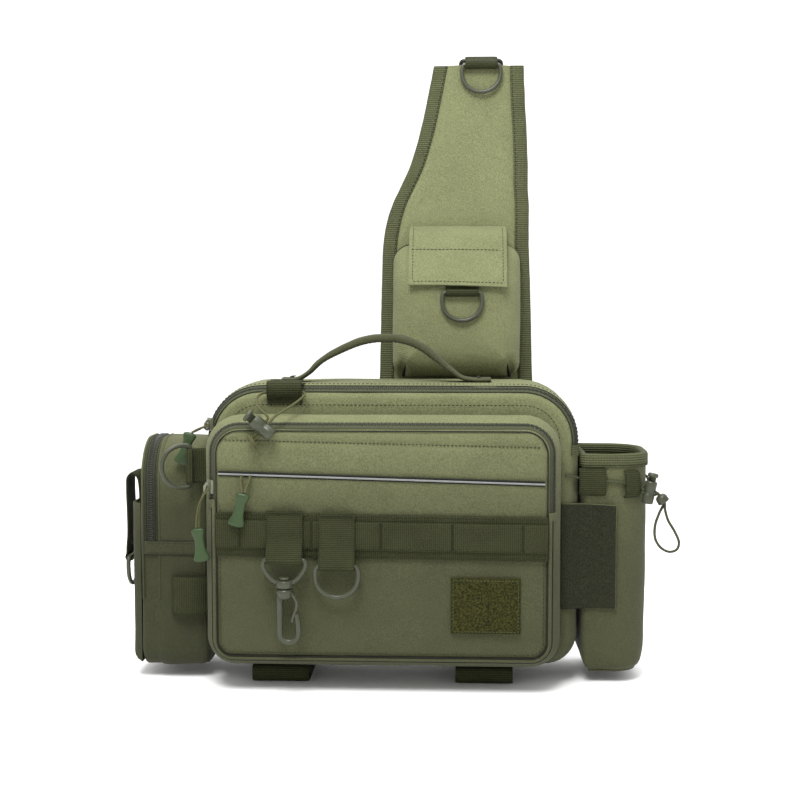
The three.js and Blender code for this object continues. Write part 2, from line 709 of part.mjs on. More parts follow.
function hookEye() {
  const line = [
    [-12, 0], [-14.1, -0.9], [-14.8, -3.2], [-13.6, -7], [-9.8, -12.4], [-4.6, -16.2], [4.6, -16.2],
    [9.8, -12.4], [13.6, -7], [14.8, -3.2], [14.1, -0.9], [12, 0],
  ];
  const wire = bentWire(line, RING.wire, RING.sides, true);
  const collar = rotationSolid([[0, -HOOK.plateLow], [HOOK.collar, -HOOK.plateLow], [HOOK.collar, -HOOK.plateTop],
    [0, -HOOK.plateTop]], 14);
  const hole = rotationSolid([[0, -HOOK.plateLow - 3], [HOOK.bore, -HOOK.plateLow - 3], [HOOK.bore, -HOOK.plateTop + 6],
    [0, -HOOK.plateTop + 6]], 12);
  return cut(join(wire, collar), hole);
}

function hookBody() {
  const top = -HOOK.plateTop + GAP;
  const pin = rotationSolid([[0, -HOOK.neckTop - 1], [HOOK.pin, -HOOK.neckTop - 1], [HOOK.pin, top],
    [HOOK.head, top], [HOOK.head, top + HOOK.headHigh], [0, top + HOOK.headHigh]], 12);
  const neck = box(-HOOK.neckHalf, HOOK.neckHalf, -HOOK.neckDeep, HOOK.neckDeep, -HOOK.neckLow, -HOOK.neckTop);
  const bow = Array.from({ length: 9 }, (_, i) => {
    const angle = Math.PI + (Math.PI * i) / 8;
    return [HOOK.bowX + HOOK.bowRadius * Math.cos(angle), HOOK.bowZ + HOOK.bowRadius * Math.sin(angle)];
  });
  const line = [[HOOK.legX, -HOOK.neckLow + 2], [HOOK.legX, -38], ...bow, [HOOK.bowX + HOOK.bowRadius, HOOK.tip]];
  const leg = bentWire(line, HOOK.wire, 8, false);
  const half = GATE.width / 2 + GAP;
  const notch = box(GATE.x - 2.5, HOOK.neckHalf + 1, -half, half, -HOOK.neckLow - 1, -HOOK.neckTop - 0.4);
  const rivet = prism(circle(GATE.x, GATE.z, GATE.pin, 8), [], HOOK.neckDeep * 1.6, 'xz', 0);
  const body = toSolid(pin).add(toSolid(neck)).add(toSolid(leg)).subtract(toSolid(notch)).add(toSolid(rivet));
  return toGeometry(body);
}

function hookGate() {
  const path = smooth([[0, 0], [2, -4], [1.6, -9], [0.9, -14], [0.7, -20]], 8);
  const leaf = strip(path, GATE.thick, GATE.width, 'xz', 0);
  const knuckle = prism(circle(0, 0, GATE.knuckle, 12), [], GATE.width, 'xz', 0);
  return cut(join(leaf, knuckle), prism(circle(0, 0, GATE.hole, 10), [], GATE.width + 2, 'xz', 0));
}

const FRONT_PULL_ROUTE = [
  [-131.3, 3.4, 116.7], [-130.7, 2.2, 124], [-128.4, 0.2, 134], [-124.6, -0.6, 141], [-122, 0.6, 144.6],
  [-123.2, 2.3, 146], [-124.5, 3.9, 144.6], [-126.6, 4.8, 140], [-128.6, 4.6, 132], [-129.4, 4.4, 124],
  [-129.6, 4.2, 116.7],
];

const SLIT_PULL_LEFT = [
  [-98.6, -1.5, 153.4], [-98.7, -2.8, 150.4], [-98, -5, 146.6], [-97.3, -6.4, 142.9],
];

const SLIT_PULL_RIGHT = [
  [-95.4, -6.4, 142.9], [-94.6, -5, 146.6], [-93, -2.8, 150.4], [-92.4, -1.5, 153.4],
];

function frontGroup() {
  const group = new THREE.Group();
  group.name = 'front_pocket_group';
  group.add(piece('front_pocket', frontShell(), 'fabric'));
  group.add(piece('front_zipper', zipBand(FRONT, FRONT_ZIP), 'zip'));
  group.add(placedSlider('front_slider', FRONT, FRONT_ZIP, 146, 0));
  group.add(piece('front_pull_cord', cordTube(FRONT_PULL_ROUTE, 0.7, 14), 'cord'));
  group.add(placedGrip('front_pull_grip', -130.4, 3.8, 116.1, -8));
  group.add(piece('reflective_strip', reflectiveStrip(), 'reflective'));
  group.add(piece('slit_pull_cord_left', cordTube(SLIT_PULL_LEFT, 0.8, 4), 'cord'));
  group.add(piece('slit_pull_cord_right', cordTube(SLIT_PULL_RIGHT, 0.8, 4), 'cord'));
  group.add(placedGrip('slit_pull_grip', -96.4, -6.6, 142.3, 14));
  group.add(piece('molle_base', molleBase(), 'webbing'));
  group.add(piece('molle_band', molleBand(), 'webbing'));
  const patch = box(PATCH.left, PATCH.right, -GAP - PATCH.thick, -GAP, PATCH.low, PATCH.high);
  group.add(piece('loop_patch', patch, 'patch'));
  group.add(piece('hook_tab', hangingTab(HOOK_TAB), 'webbing'));
  group.add(piece('ring_tab', hangingTab(FRONT_TAB), 'webbing'));
  group.add(placed(piece('front_ring', ring(), 'plastic'), FRONT_TAB.centre, FRONT_TAB.barY, FRONT_TAB.barZ));
  const hook = new THREE.Group();
  hook.name = 'swivel_hook';
  hook.position.set(HOOK_TAB.centre, HOOK_TAB.barY, HOOK_TAB.barZ);
  hook.add(piece('hook_eye', hookEye(), 'plastic'));
  hook.add(piece('hook_body', hookBody(), 'plastic'));
  hook.add(placed(piece('hook_gate', hookGate(), 'plastic'), GATE.x, 0, GATE.z));
  group.add(hook);
  return group;
}

// Bottom loops

const BOTTOM_PATH = [
  [47, 12], [36, 11.8], [31.4, 10.4], [30.2, 7], [30.9, 3], [34.4, 0.7], [70, 0.7], [100.6, 0.7],
  [104.1, 3], [104.8, 7], [103.6, 10.4], [99, 11.8], [88, 12],
];

function bottomLoop(name, centre, width) {
  return piece(name, strip(BOTTOM_PATH, WEB, width, 'yz', centre), 'webbing');
}

// Left pouch

function pouchShell() {
  const zip = POUCH_ZIP;
  const section = [
    { inset: zip.over, depth: zip.near }, { inset: zip.over, depth: zip.far },
    { inset: zip.under, depth: zip.far }, { inset: zip.under, depth: zip.near },
  ];
  const slot = archBand(POUCH, section, zip.stop - GAP, zip.stop - GAP, onLeft);
  return cut(bulge(POUCH, POUCH_OUTER, onLeft), bulge(POUCH, POUCH_INNER, onLeft), slot);
}

function pouchZip() {
  const zip = POUCH_ZIP;
  const section = [
    { inset: zip.face, depth: zip.near + GAP }, { inset: zip.face, depth: zip.far - GAP },
    { inset: zip.back, depth: zip.far - GAP }, { inset: zip.back, depth: zip.near + GAP },
  ];
  return archBand(POUCH, section, zip.stop, zip.stop, onLeft);
}

function slipPocket() {
  const hollow = { ...SLIP, high: SLIP.high + SLIP_OPEN };
  return cut(bulge(SLIP, SLIP_OUTER, onLeft), bulge(hollow, SLIP_INNER, onLeft));
}

const OUTER_STRAP_PATH = [
  [-51.8, 112], [-51.8, 126], [-52, 138], [-53.5, 146.4], [-57.1, 149.6], [-60.7, 146.6],
  [-61.4, 138], [-60.9, 120], [-60, 102], [-59.7, 94], [-59.9, 90],
].map(([x, z]) => [POUCH_SIDE + x, z]);

function outerStrap() {
  return tab(OUTER_STRAP_PATH, [OUTER_TAB.x, OUTER_TAB.z], WEB, TAB_WIDTH, 'xz', OUTER_TAB.y);
}

const SIDE_LOOP_PATH = [
  [-127.6, 32.2], [-130, 30.2], [-134, 28.4], [-141, 27.6], [-148, 28], [-152.4, 29.4], [-155, 32.8],
];

function sideTab() {
  const path = [[3, 28.1], [-2.2, 28.1], [-7.2, 27.5], [-11.2, 26.9]].map(([x, y]) => [FRONT_LEFT + x, y]);
  return tab(path, [SIDE_TAB.x, SIDE_TAB.y], WEB, SIDE_TAB.width, 'xy', SIDE_TAB.z);
}

function leftGroup() {
  const group = new THREE.Group();
  group.name = 'left_side';
  group.add(piece('left_pouch', pouchShell(), 'fabric'));
  group.add(piece('left_zipper', pouchZip(), 'zip'));
  group.add(piece('slip_pocket', slipPocket(), 'fabric'));
  group.add(piece('outer_strap', outerStrap(), 'webbing'));
  const outer = placed(piece('outer_ring', ring(), 'plastic'), OUTER_TAB.x, OUTER_TAB.y, OUTER_TAB.z);
  outer.rotation.z = Math.PI / 2;
  group.add(outer);
  group.add(piece('side_loop', strip(smooth(SIDE_LOOP_PATH, 10), WEB, 27.5, 'xy', 63), 'webbing'));
  group.add(piece('side_tab', sideTab(), 'webbing'));
  const side = placed(piece('side_ring', ring(), 'plastic'), SIDE_TAB.x, SIDE_TAB.y, SIDE_TAB.z);
  side.rotation.set(0, Math.PI / 2, SIDE_TAB.turn, 'ZYX');
  group.add(side);
  return group;
}

// Bottle pocket

function rimBand() {
  const rows = [
    { inset: -GAP, depth: RIM.low }, { inset: RIM.outside, depth: RIM.low },
    { inset: RIM.outside, depth: RIM.top }, { inset: RIM.inside, depth: RIM.top },
    { inset: RIM.inside, depth: RIM.lowInside }, { inset: 2.4, depth: RIM.lowInside },
    { inset: 2.4, depth: BOTTLE_RIM + GAP }, { inset: -GAP, depth: BOTTLE_RIM + GAP },
  ];
  const rings = rows.map((row) => outline(BOTTLE, row.inset).map(([u, v]) => onTop(u, v, row.depth)));
  return loft(rings, true);
}

const CORD_LOOP_PATH = [
  [-1, 9.2], [-2.6, 8.2], [-3.9, 5], [-4.3, 0], [-3.9, -5], [-2.6, -8.2], [-1, -9.2],
];

function cordLoop(width) {
  return strip(CORD_LOOP_PATH, WEB, width, 'yz', 0);
}

const SIDE_CORD_LOOP = { angle: -66, width: 11.4, z: 145.2 };

const VELCRO_PATH = [[124.6, 27.5], [129, 27.8], [133.4, 29.8], [138, 32], [143, 33], [163.4, 33]];

function lockBarrel(size) {
  const half = size.length / 2;
  const body = rotationSolid([[0, -half], [size.radius - 0.8, -half], [size.radius, -half + 1.2],
    [size.radius, half - 1.2], [size.radius - 0.8, half], [0, half]], 14);
  const hollow = rotationSolid([[0, -half + size.floor], [size.bore, -half + size.floor],
    [size.bore, half + 2], [0, half + 2]], 12);
  const slot = box(-9, 9, -size.slotWide / 2, size.slotWide / 2, -size.slotLong / 2, size.slotLong / 2);
  return cut(body, hollow, slot);
}

function lockButton(size) {
  const half = size.length / 2;
  const under = half + size.travel + 0.6;
  const foot = -half + size.floor + size.travel + 0.6;
  const body = rotationSolid([[0, foot], [size.stem, foot], [size.stem, under], [size.cap, under],
    [size.cap, under + size.capHigh - 0.7], [size.cap - 0.7, under + size.capHigh],
    [0, under + size.capHigh]], 12);
  const wide = size.slotWide / 2;
  const slot = box(-6, 6, -wide, wide, -size.slotLong / 2, size.slotLong / 2 + size.travel);
  return cut(body, slot);
}

function cordLock(groupName, bodyName, buttonName, at, size) {
  const group = new THREE.Group();
  group.name = groupName;
  group.position.set(at.x, at.y, at.z);
  group.rotation.y = at.turn;
  group.add(piece(bodyName, lockBarrel(size), 'plastic'));
  group.add(piece(buttonName, lockButton(size), 'plastic'));
  return group;
}

function cordStopper() {
  const dome = rotationSolid([[0, -3.1], [STOPPER.radius, -3.1], [STOPPER.radius, -1.6], [3.9, 0.8],
    [3.4, 2.9], [0, 2.9]], 14);
  return cut(dome, box(-1.5, 1.5, -2.4, 2.4, -6, 6));
}

function rightGroup() {
  const group = new THREE.Group();
  group.name = 'right_side';
  group.add(piece('bottle_pocket', cut(bulge(BOTTLE, BOTTLE_OUTER, onTop), bulge(BOTTLE, BOTTLE_INNER, onTop)),
    'fabric'));
  group.add(piece('rim_band', rimBand(), 'webbing'));
  group.add(placed(piece('cord_loop_front', cordLoop(19), 'webbing'), 146.6, 34, 146.8));
  const round = BOTTLE.radii.br;
  const corner = THREE.MathUtils.degToRad(SIDE_CORD_LOOP.angle);
  const side = placed(
    piece('cord_loop_side', cordLoop(SIDE_CORD_LOOP.width), 'webbing'),
    BOTTLE.centre + BOTTLE.half - round + round * Math.cos(corner),
    BOTTLE.low + round + round * Math.sin(corner),
    SIDE_CORD_LOOP.z,
  );
  side.rotation.z = corner + Math.PI / 2;
  group.add(side);
  group.add(piece('velcro_panel', strip(VELCRO_PATH, WEB, 75.6, 'xy', 94), 'panel'));
  group.add(piece('drawcord', cordTube(DRAWCORD_ROUTE, DRAWCORD.radius, DRAWCORD.steps), 'cord'));
  group.add(cordLock('holder_cord_lock', 'holder_lock', 'holder_lock_button', HOLDER_LOCK,
    HOLDER_LOCK_SIZE));
  const stopper = placed(piece('cord_stopper', cordStopper(), 'plastic'), STOPPER.x, STOPPER.y, STOPPER.z);
  stopper.rotation.y = STOPPER.turn;
  group.add(stopper);
  return group;
}

// Cord and lock at the top left

function rodGroup() {
  const group = new THREE.Group();
  group.name = 'rod_holder';
  group.add(piece('rod_cord', cordTube(ROD_CORD_ROUTE, ROD_CORD.radius, ROD_CORD.steps), 'cord'));
  group.add(cordLock('rod_cord_lock', 'rod_lock', 'rod_lock_button', ROD_LOCK, ROD_LOCK_SIZE));
  const ringKnot = new THREE.TorusGeometry(ROD_KNOT.radius, ROD_KNOT.wire, 6, 12);
  const knot = placed(piece('rod_knot', ringKnot, 'cord'), ROD_KNOT.x, ROD_KNOT.y, ROD_KNOT.z);
  knot.rotation.y = ROD_LOCK.turn + Math.PI / 2;
  group.add(knot);
  return group;
}

// Shoulder strap

function strapPad() {
  const rings = STRAP_EDGES.map((row) => {
    const left = row.left + BINDING.over;
    const right = row.right - BINDING.over;
    const rim = [
      [left, PAD.edgeFront], [left + PAD.edgeWidth, PAD.edgeFront], [left + PAD.shoulder, 0],
      [right - PAD.shoulder, 0], [right - PAD.edgeWidth, PAD.edgeFront], [right, PAD.edgeFront],
      [right, PAD.edgeBack], [right - PAD.edgeWidth, PAD.edgeBack], [right - PAD.shoulder, PAD.thick],
      [left + PAD.shoulder, PAD.thick], [left + PAD.edgeWidth, PAD.edgeBack], [left, PAD.edgeBack],
    ];
    return rim.map(([x, y]) => vec(x, y, row.along));
  });
  return loft(rings);
}

function strapBinding(side) {
  const sign = side === 'left' ? 1 : -1;
  const front = PAD.edgeFront - GAP;
  const back = PAD.edgeBack + GAP;
  const inner = BINDING.over - GAP;
  const reach = BINDING.over + BINDING.reach;
  const rings = STRAP_EDGES.map((row) => {
    const edge = row[side];
    const rim = [
      [0, front - BINDING.thick], [reach, front - BINDING.thick], [reach, front], [inner, front],
      [inner, back], [reach, back], [reach, back + BINDING.thick], [0, back + BINDING.thick],
    ];
    return rim.map(([x, y]) => vec(edge + sign * x, y, row.along));
  });
  return loft(rings);
}

function taperPouch(geometry) {
  const position = geometry.attributes.position;
  for (let i = 0; i < position.count; i += 1) {
    const along = THREE.MathUtils.smoothstep(position.getZ(i), PHONE_TAPER.from, PHONE_TAPER.to);
    const share = 1 - (1 - PHONE_TAPER.share) * along;
    const y = position.getY(i);
    position.setY(i, y < -GAP ? -GAP + (y + GAP) * share : y);
  }
  geometry.computeVertexNormals();
  return geometry;
}

function phonePouch() {
  const mouth = box(PHONE_MOUTH.left, PHONE_MOUTH.right, -PHONE_MOUTH.far, -PHONE_MOUTH.near,
    PHONE.high - PHONE_MOUTH.high, PHONE.high + 5);
  return taperPouch(cut(bulge(PHONE, PHONE_OUTER, onStrap), bulge(PHONE, PHONE_INNER, onStrap), mouth));
}

function pouchFlap() {
  const path = smooth(FLAP_PATH.map((row) => [row.y, row.z]), 14);
  return strip(path, FLAP.thick, FLAP.right - FLAP.left, 'yz', (FLAP.left + FLAP.right) / 2);
}

function pouchTab() {
  const path = [[-27.6, 75.6], [-27.6, 71], [-28.4, 68.6]];
  return tab(path, [PHONE_TAB.barY, PHONE_TAB.barZ], 1.2, TAB_WIDTH, 'yz', PHONE_TAB.centre);
}

function topTab() {
  const bars = [[TOP_TAB.frontY, TOP_TAB.frontZ], [TOP_TAB.backY, TOP_TAB.backZ]];
  const over = strip([[TOP_TAB.frontY - 0.6, TOP_TAB.frontZ + 2.4], [-1, 251.8], [3, 254.6],
    [TOP_TAB.backY - 1, TOP_TAB.backZ + 2]], WEB, TAB_WIDTH, 'yz', TOP_TAB.centre);
  const tail = strip([[TOP_TAB.backY + 1.4, TOP_TAB.backZ - 2.4], [8.8, 248.6], [8.8, 227]], WEB, TAB_WIDTH, 'yz',
    TOP_TAB.centre);
  const eyes = bars.map(([a, b]) => prism(circle(a, b, LUG.outer, 12), [], TAB_WIDTH, 'yz', TOP_TAB.centre));
  const solid = join(over, tail, ...eyes);
  return cut(solid, ...bars.map(([a, b]) => bore(a, b, TAB_WIDTH + 4, 'yz', TOP_TAB.centre)));
}

const BUCKLE = { half: 15.6, backY: 16.4, backZ: 241.2, wire: 1.6 };

function topBuckle() {
  const long = Math.hypot(BUCKLE.backY - TOP_TAB.backY, BUCKLE.backZ - TOP_TAB.backZ);
  const line = [
    [-BUCKLE.half + 1.4, 0], [-BUCKLE.half, -1.4], [-BUCKLE.half, 1.4 - long], [-BUCKLE.half + 1.4, -long],
    [BUCKLE.half - 1.4, -long], [BUCKLE.half, 1.4 - long], [BUCKLE.half, -1.4], [BUCKLE.half - 1.4, 0],
  ];
  return bentWire(line, BUCKLE.wire, RING.sides, true);
}

const BACK_WEBBING_PATH = [
  { y: BUCKLE.backY - 2.2, z: BUCKLE.backZ - 2 }, { y: 12.6, z: 232 }, { y: 10.6, z: 215 },
  { y: 9.4, z: 190 }, { y: 9.4, z: 0 }, { y: 8.6, z: -14 },
];

function onStrapSide(y, z) {
  return [
    STRAP_FOOT.y + y * Math.cos(STRAP_LEAN) + z * Math.sin(STRAP_LEAN),
    STRAP_FOOT.z - y * Math.sin(STRAP_LEAN) + z * Math.cos(STRAP_LEAN),
  ];
}

function backWebbing() {
  const upper = BACK_WEBBING_PATH.map((row) => onStrapSide(row.y, row.z));
  const path = [...upper, [117.6, 184], [114.2, 172], [114.1, 60]];
  const bar = onStrapSide(BUCKLE.backY, BUCKLE.backZ);
  return tab(path, bar, WEB, TAB_WIDTH, 'yz', TOP_TAB.centre);
}

function strapGroup() {
  const group = new THREE.Group();
  group.name = 'shoulder_strap';
  group.position.set(0, STRAP_FOOT.y, STRAP_FOOT.z);
  group.rotation.x = -STRAP_LEAN;
  group.add(piece('strap_pad', strapPad(), 'fabric'));
  group.add(piece('strap_binding_left', strapBinding('left'), 'webbing'));
  group.add(piece('strap_binding_right', strapBinding('right'), 'webbing'));
  group.add(piece('phone_pouch', phonePouch(), 'fabric'));
  group.add(piece('pouch_flap', pouchFlap(), 'fabric'));
  group.add(piece('pouch_tab', pouchTab(), 'webbing'));
  group.add(piece('top_tab', topTab(), 'webbing'));
  group.add(placed(piece('pouch_ring', ring(), 'plastic'), PHONE_TAB.centre, PHONE_TAB.barY, PHONE_TAB.barZ));
  group.add(placed(piece('top_ring', ring(), 'plastic'), TOP_TAB.centre, TOP_TAB.frontY, TOP_TAB.frontZ));
  const buckle = placed(piece('top_buckle', topBuckle(), 'black'), TOP_TAB.centre, TOP_TAB.backY, TOP_TAB.backZ);
  buckle.rotation.x = Math.atan2(BUCKLE.backY - TOP_TAB.backY, TOP_TAB.backZ - BUCKLE.backZ);
  group.add(buckle);
  return group;
}

// Whole bag, with the middle of its footprint at the origin; cords and what they carry don't count

const ON_CORDS = [
  'main_pull_cord', 'main_pull_grip', 'front_pull_cord', 'front_pull_grip', 'slit_pull_cord_left',
  'slit_pull_cord_right', 'slit_pull_grip', 'drawcord', 'holder_lock', 'holder_lock_button', 'cord_stopper',
  'rod_cord', 'rod_lock', 'rod_lock_button', 'rod_knot',
];

function footprint(group) {
  const bounds = new THREE.Box3();
  group.traverse((mesh) => {
    if (mesh.isMesh && !ON_CORDS.includes(mesh.name)) {
      bounds.union(new THREE.Box3().setFromObject(mesh, true));
    }
  });
  return bounds;
}

function bag() {
  const inner = new THREE.Group();
  inner.name = 'bag';
  inner.add(mainGroup());
  inner.add(frontGroup());
  inner.add(bottomLoop('bottom_loop_left', -76.4, 41));
  inner.add(bottomLoop('bottom_loop_right', 70.4, 41));
  inner.add(leftGroup());
  inner.add(rightGroup());
  inner.add(rodGroup());
  inner.add(strapGroup());
  inner.add(piece('back_webbing', backWebbing(), 'webbing'));
  inner.updateMatrixWorld(true);
  const bounds = footprint(inner);
  const middle = bounds.getCenter(vec(0, 0, 0));
  inner.position.set(-middle.x, -middle.y, -bounds.min.z);
  const root = new THREE.Group();
  root.name = 'crossbody_bag';
  root.add(inner);
  return root;
}

export default bag();
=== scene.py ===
"""Looks of the crossbody bag: fabric shells, webbing, zips, moulded fittings, cords, light and camera."""

import math

import bmesh
import bpy
import numpy as np
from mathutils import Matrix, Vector, noise

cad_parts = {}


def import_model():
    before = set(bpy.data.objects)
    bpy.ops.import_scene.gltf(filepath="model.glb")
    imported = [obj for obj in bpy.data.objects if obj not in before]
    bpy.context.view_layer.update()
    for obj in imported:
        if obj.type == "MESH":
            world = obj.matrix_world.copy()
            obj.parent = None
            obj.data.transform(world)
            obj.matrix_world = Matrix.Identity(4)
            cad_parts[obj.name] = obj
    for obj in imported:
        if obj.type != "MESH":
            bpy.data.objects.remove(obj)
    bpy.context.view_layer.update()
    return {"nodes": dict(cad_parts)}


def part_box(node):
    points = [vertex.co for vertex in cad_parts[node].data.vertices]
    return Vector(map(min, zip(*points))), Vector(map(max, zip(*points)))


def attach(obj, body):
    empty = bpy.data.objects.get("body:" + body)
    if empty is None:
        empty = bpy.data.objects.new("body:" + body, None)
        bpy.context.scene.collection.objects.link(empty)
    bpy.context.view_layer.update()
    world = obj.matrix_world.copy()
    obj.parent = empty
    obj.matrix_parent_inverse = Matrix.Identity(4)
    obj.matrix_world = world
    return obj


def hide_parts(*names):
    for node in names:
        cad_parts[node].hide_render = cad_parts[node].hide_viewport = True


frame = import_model()

# Sizes below are in the drawing's millimetres; SHIFT moves them into the row frame.
MM = 0.001
SHELL_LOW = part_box("main_shell")[0]
SHIFT = np.array([SHELL_LOW.x / MM + 129.5, SHELL_LOW.y / MM - 28.4, 0.0])


def world(points):
    return (np.asarray(points, float) + SHIFT) * MM


# Camera and light

CAMERA = {"place": (50.55, -898.65, 270), "aim": (-0.0435, 0.9966, -0.0698), "lens": 59.13}
LIGHTS = [
    {"name": "key", "place": (-0.12, -0.72, 1.25), "aim": (0.02, 0, 0.22), "size": 0.6, "power": 21},
    {"name": "top", "place": (0.1, 0.15, 1.5), "aim": (0, 0, 0.1), "size": 1.2, "power": 12},
]


TENT = {"level": 0.3, "back": 0.85, "above": 1.1, "band": (0.16, 0.4, 1.06, 0.0)}


def turned(place, aim):
    return (Vector(aim) - Vector(place)).to_track_quat("-Z", "Y").to_euler()


def add_camera():
    data = bpy.data.cameras.new("camera")
    data.lens = CAMERA["lens"]
    data.sensor_width = 36
    data.clip_start = 0.01
    camera = bpy.data.objects.new("camera", data)
    camera.location = world(CAMERA["place"])
    camera.rotation_euler = Vector(CAMERA["aim"]).to_track_quat("-Z", "Y").to_euler()
    bpy.context.scene.collection.objects.link(camera)
    bpy.context.scene.camera = camera


def light_tent():
    """A tent of white cloth around the bag: bright above, behind and along the floor, dimmer elsewhere."""
    sky = bpy.data.worlds.new("studio")
    sky.use_nodes = True
    tree = sky.node_tree
    split = tree.nodes.new("ShaderNodeSeparateXYZ")
    tree.links.new(tree.nodes.new("ShaderNodeTexCoord").outputs["Generated"], split.inputs[0])
    total = TENT["level"]
    for axis, share in (("Y", TENT["back"]), ("Z", TENT["above"])):
        positive = tree.nodes.new("ShaderNodeMath")
        positive.operation = "MAXIMUM"
        tree.links.new(split.outputs[axis], positive.inputs[0])
        positive.inputs[1].default_value = 0
        scaled = tree.nodes.new("ShaderNodeMath")
        scaled.operation = "MULTIPLY_ADD"
        tree.links.new(positive.outputs[0], scaled.inputs[0])
        scaled.inputs[1].default_value = share
        if isinstance(total, float):
            scaled.inputs[2].default_value = total
        else:
            tree.links.new(total, scaled.inputs[2])
        total = scaled.outputs[0]
    band = tree.nodes.new("ShaderNodeMapRange")
    band.interpolation_type = "SMOOTHSTEP"
    tree.links.new(split.outputs["Z"], band.inputs["Value"])
    for key, value in zip(("From Min", "From Max", "To Min", "To Max"), TENT["band"]):
        band.inputs[key].default_value = value
    brighter = tree.nodes.new("ShaderNodeMath")
    brighter.operation = "MAXIMUM"
    tree.links.new(total, brighter.inputs[0])
    tree.links.new(band.outputs[0], brighter.inputs[1])
    tree.links.new(brighter.outputs[0], tree.nodes["Background"].inputs["Strength"])
    tree.nodes["Background"].inputs["Color"].default_value = (1, 1, 1, 1)
    return sky


def add_lights():
    for row in LIGHTS:
        data = bpy.data.lights.new(row["name"], "AREA")
        data.shape = "DISK"
        data.size = row["size"]
        data.energy = row["power"]
        lamp = bpy.data.objects.new(row["name"], data)
        lamp.location = row["place"]
        lamp.rotation_euler = turned(row["place"], row["aim"])
        bpy.context.scene.collection.objects.link(lamp)
    bpy.context.scene.world = light_tent()
    bpy.context.scene.view_settings.view_transform = "Standard"


# Materials


class Graph:
    """A node material that is put together with plain calls."""

    def __init__(self, name):
        self.material = bpy.data.materials.new(name)
        self.material.use_nodes = True
        self.tree = self.material.node_tree
        self.tree.nodes.clear()

    def node(self, kind, inputs=(), **settings):
        node = self.tree.nodes.new("ShaderNode" + kind)
        for key, value in settings.items():
            setattr(node, key, value)
        for key, value in dict(inputs).items():
            self.feed(node.inputs[key], value)
        return node

    def feed(self, socket, value):
        if isinstance(value, bpy.types.NodeSocket):
            self.tree.links.new(value, socket)
        else:
            socket.default_value = value

    def math(self, operation, a, b=0.0):
        return self.node("Math", {0: a, 1: b}, operation=operation).outputs[0]

    def noise(self, vector, scale, detail=2.0):
        inputs = {"Vector": vector, "Scale": scale, "Detail": detail}
        return self.node("TexNoise", inputs).outputs["Fac"]

    def ramp(self, factor, low, high):
        inputs = {"Factor": factor, 6: (*low, 1), 7: (*high, 1)}
        return self.node("Mix", inputs, data_type="RGBA").outputs[2]

    def bump(self, height, strength, distance):
        inputs = {"Height": height, "Strength": strength, "Distance": distance}
        return self.node("Bump", inputs).outputs["Normal"]

    def finish(self, colour, roughness, normal, **extra):
        names = {"metal": "Metallic", "sheen": "Sheen Weight", "gloss": "Specular IOR Level"}
        inputs = {"Base Color": colour, "Roughness": roughness, "Normal": normal}
        inputs.update({names[key]: value for key, value in extra.items()})
        shader = self.node("BsdfPrincipled", inputs)
        output = self.node("OutputMaterial")
        self.tree.links.new(shader.outputs[0], output.inputs["Surface"])
        return self.material


def shade(colour, factor):
    return tuple(min(c * factor, 1.0) for c in colour)


def by_height(g, at, tint, low, high):
    """Shades the cloth darker low down, as light from above does in the photograph."""
    up = g.node("SeparateXYZ", {0: at}).outputs["Z"]
    limits = {"Value": up, "From Min": 0.085, "From Max": 0.225, "To Min": low, "To Max": high}
    factor = g.node("MapRange", limits, interpolation_type="SMOOTHSTEP")
    return g.node("VectorMath", {0: tint, 1: factor.outputs[0]}, operation="MULTIPLY").outputs[0]


def fabric(name, colour, pitch=1.3):
    """Woven cloth: diagonal twill threads, heathered grain and broad patches of tone."""
    g = Graph(name)
    at = g.node("TexCoord").outputs["Object"]
    turns = 2 * math.pi / (pitch * MM)
    slanted = g.node("VectorMath", {0: at, 1: (0.62, 0.62, 0.78)}, operation="DOT_PRODUCT").outputs["Value"]
    weave = g.math("SINE", g.math("MULTIPLY", slanted, turns))
    grain = g.noise(at, 1050, 3)
    patches = g.noise(at, 38, 4)
    tone = g.math("ADD", g.math("MULTIPLY", grain, 0.8), g.math("MULTIPLY", patches, 0.2))
    tone = g.math("ADD", tone, g.math("MULTIPLY", weave, 0.03))
    ramped = g.node("MapRange", {"Value": tone, "From Min": 0.36, "From Max": 0.64}).outputs[0]
    tint = g.ramp(ramped, shade(colour, 0.78), shade(colour, 1.22))
    worn = g.node("NewGeometry").outputs["Pointiness"]
    edge = g.node("MapRange", {"Value": worn, "From Min": 0.52, "From Max": 0.62}).outputs[0]
    tint = g.node("Mix", {"Factor": g.math("MULTIPLY", edge, 0.3), 6: tint, 7: (*shade(colour, 1.5), 1)},
                  data_type="RGBA").outputs[2]
    tint = by_height(g, at, tint, 0.45, 1.27)
    height = g.math("ADD", g.math("MULTIPLY", weave, 0.22), grain)
    fine = g.bump(height, 0.34, 0.0006)
    soft = g.node("Bump", {"Height": g.noise(at, 55, 3), "Strength": 0.3, "Distance": 0.004, "Normal": fine})
    rough = g.node("MapRange", {"Value": grain, "To Min": 0.72, "To Max": 0.95}).outputs[0]
    return g.finish(tint, rough, soft.outputs["Normal"], sheen=0.04, gloss=0.12)


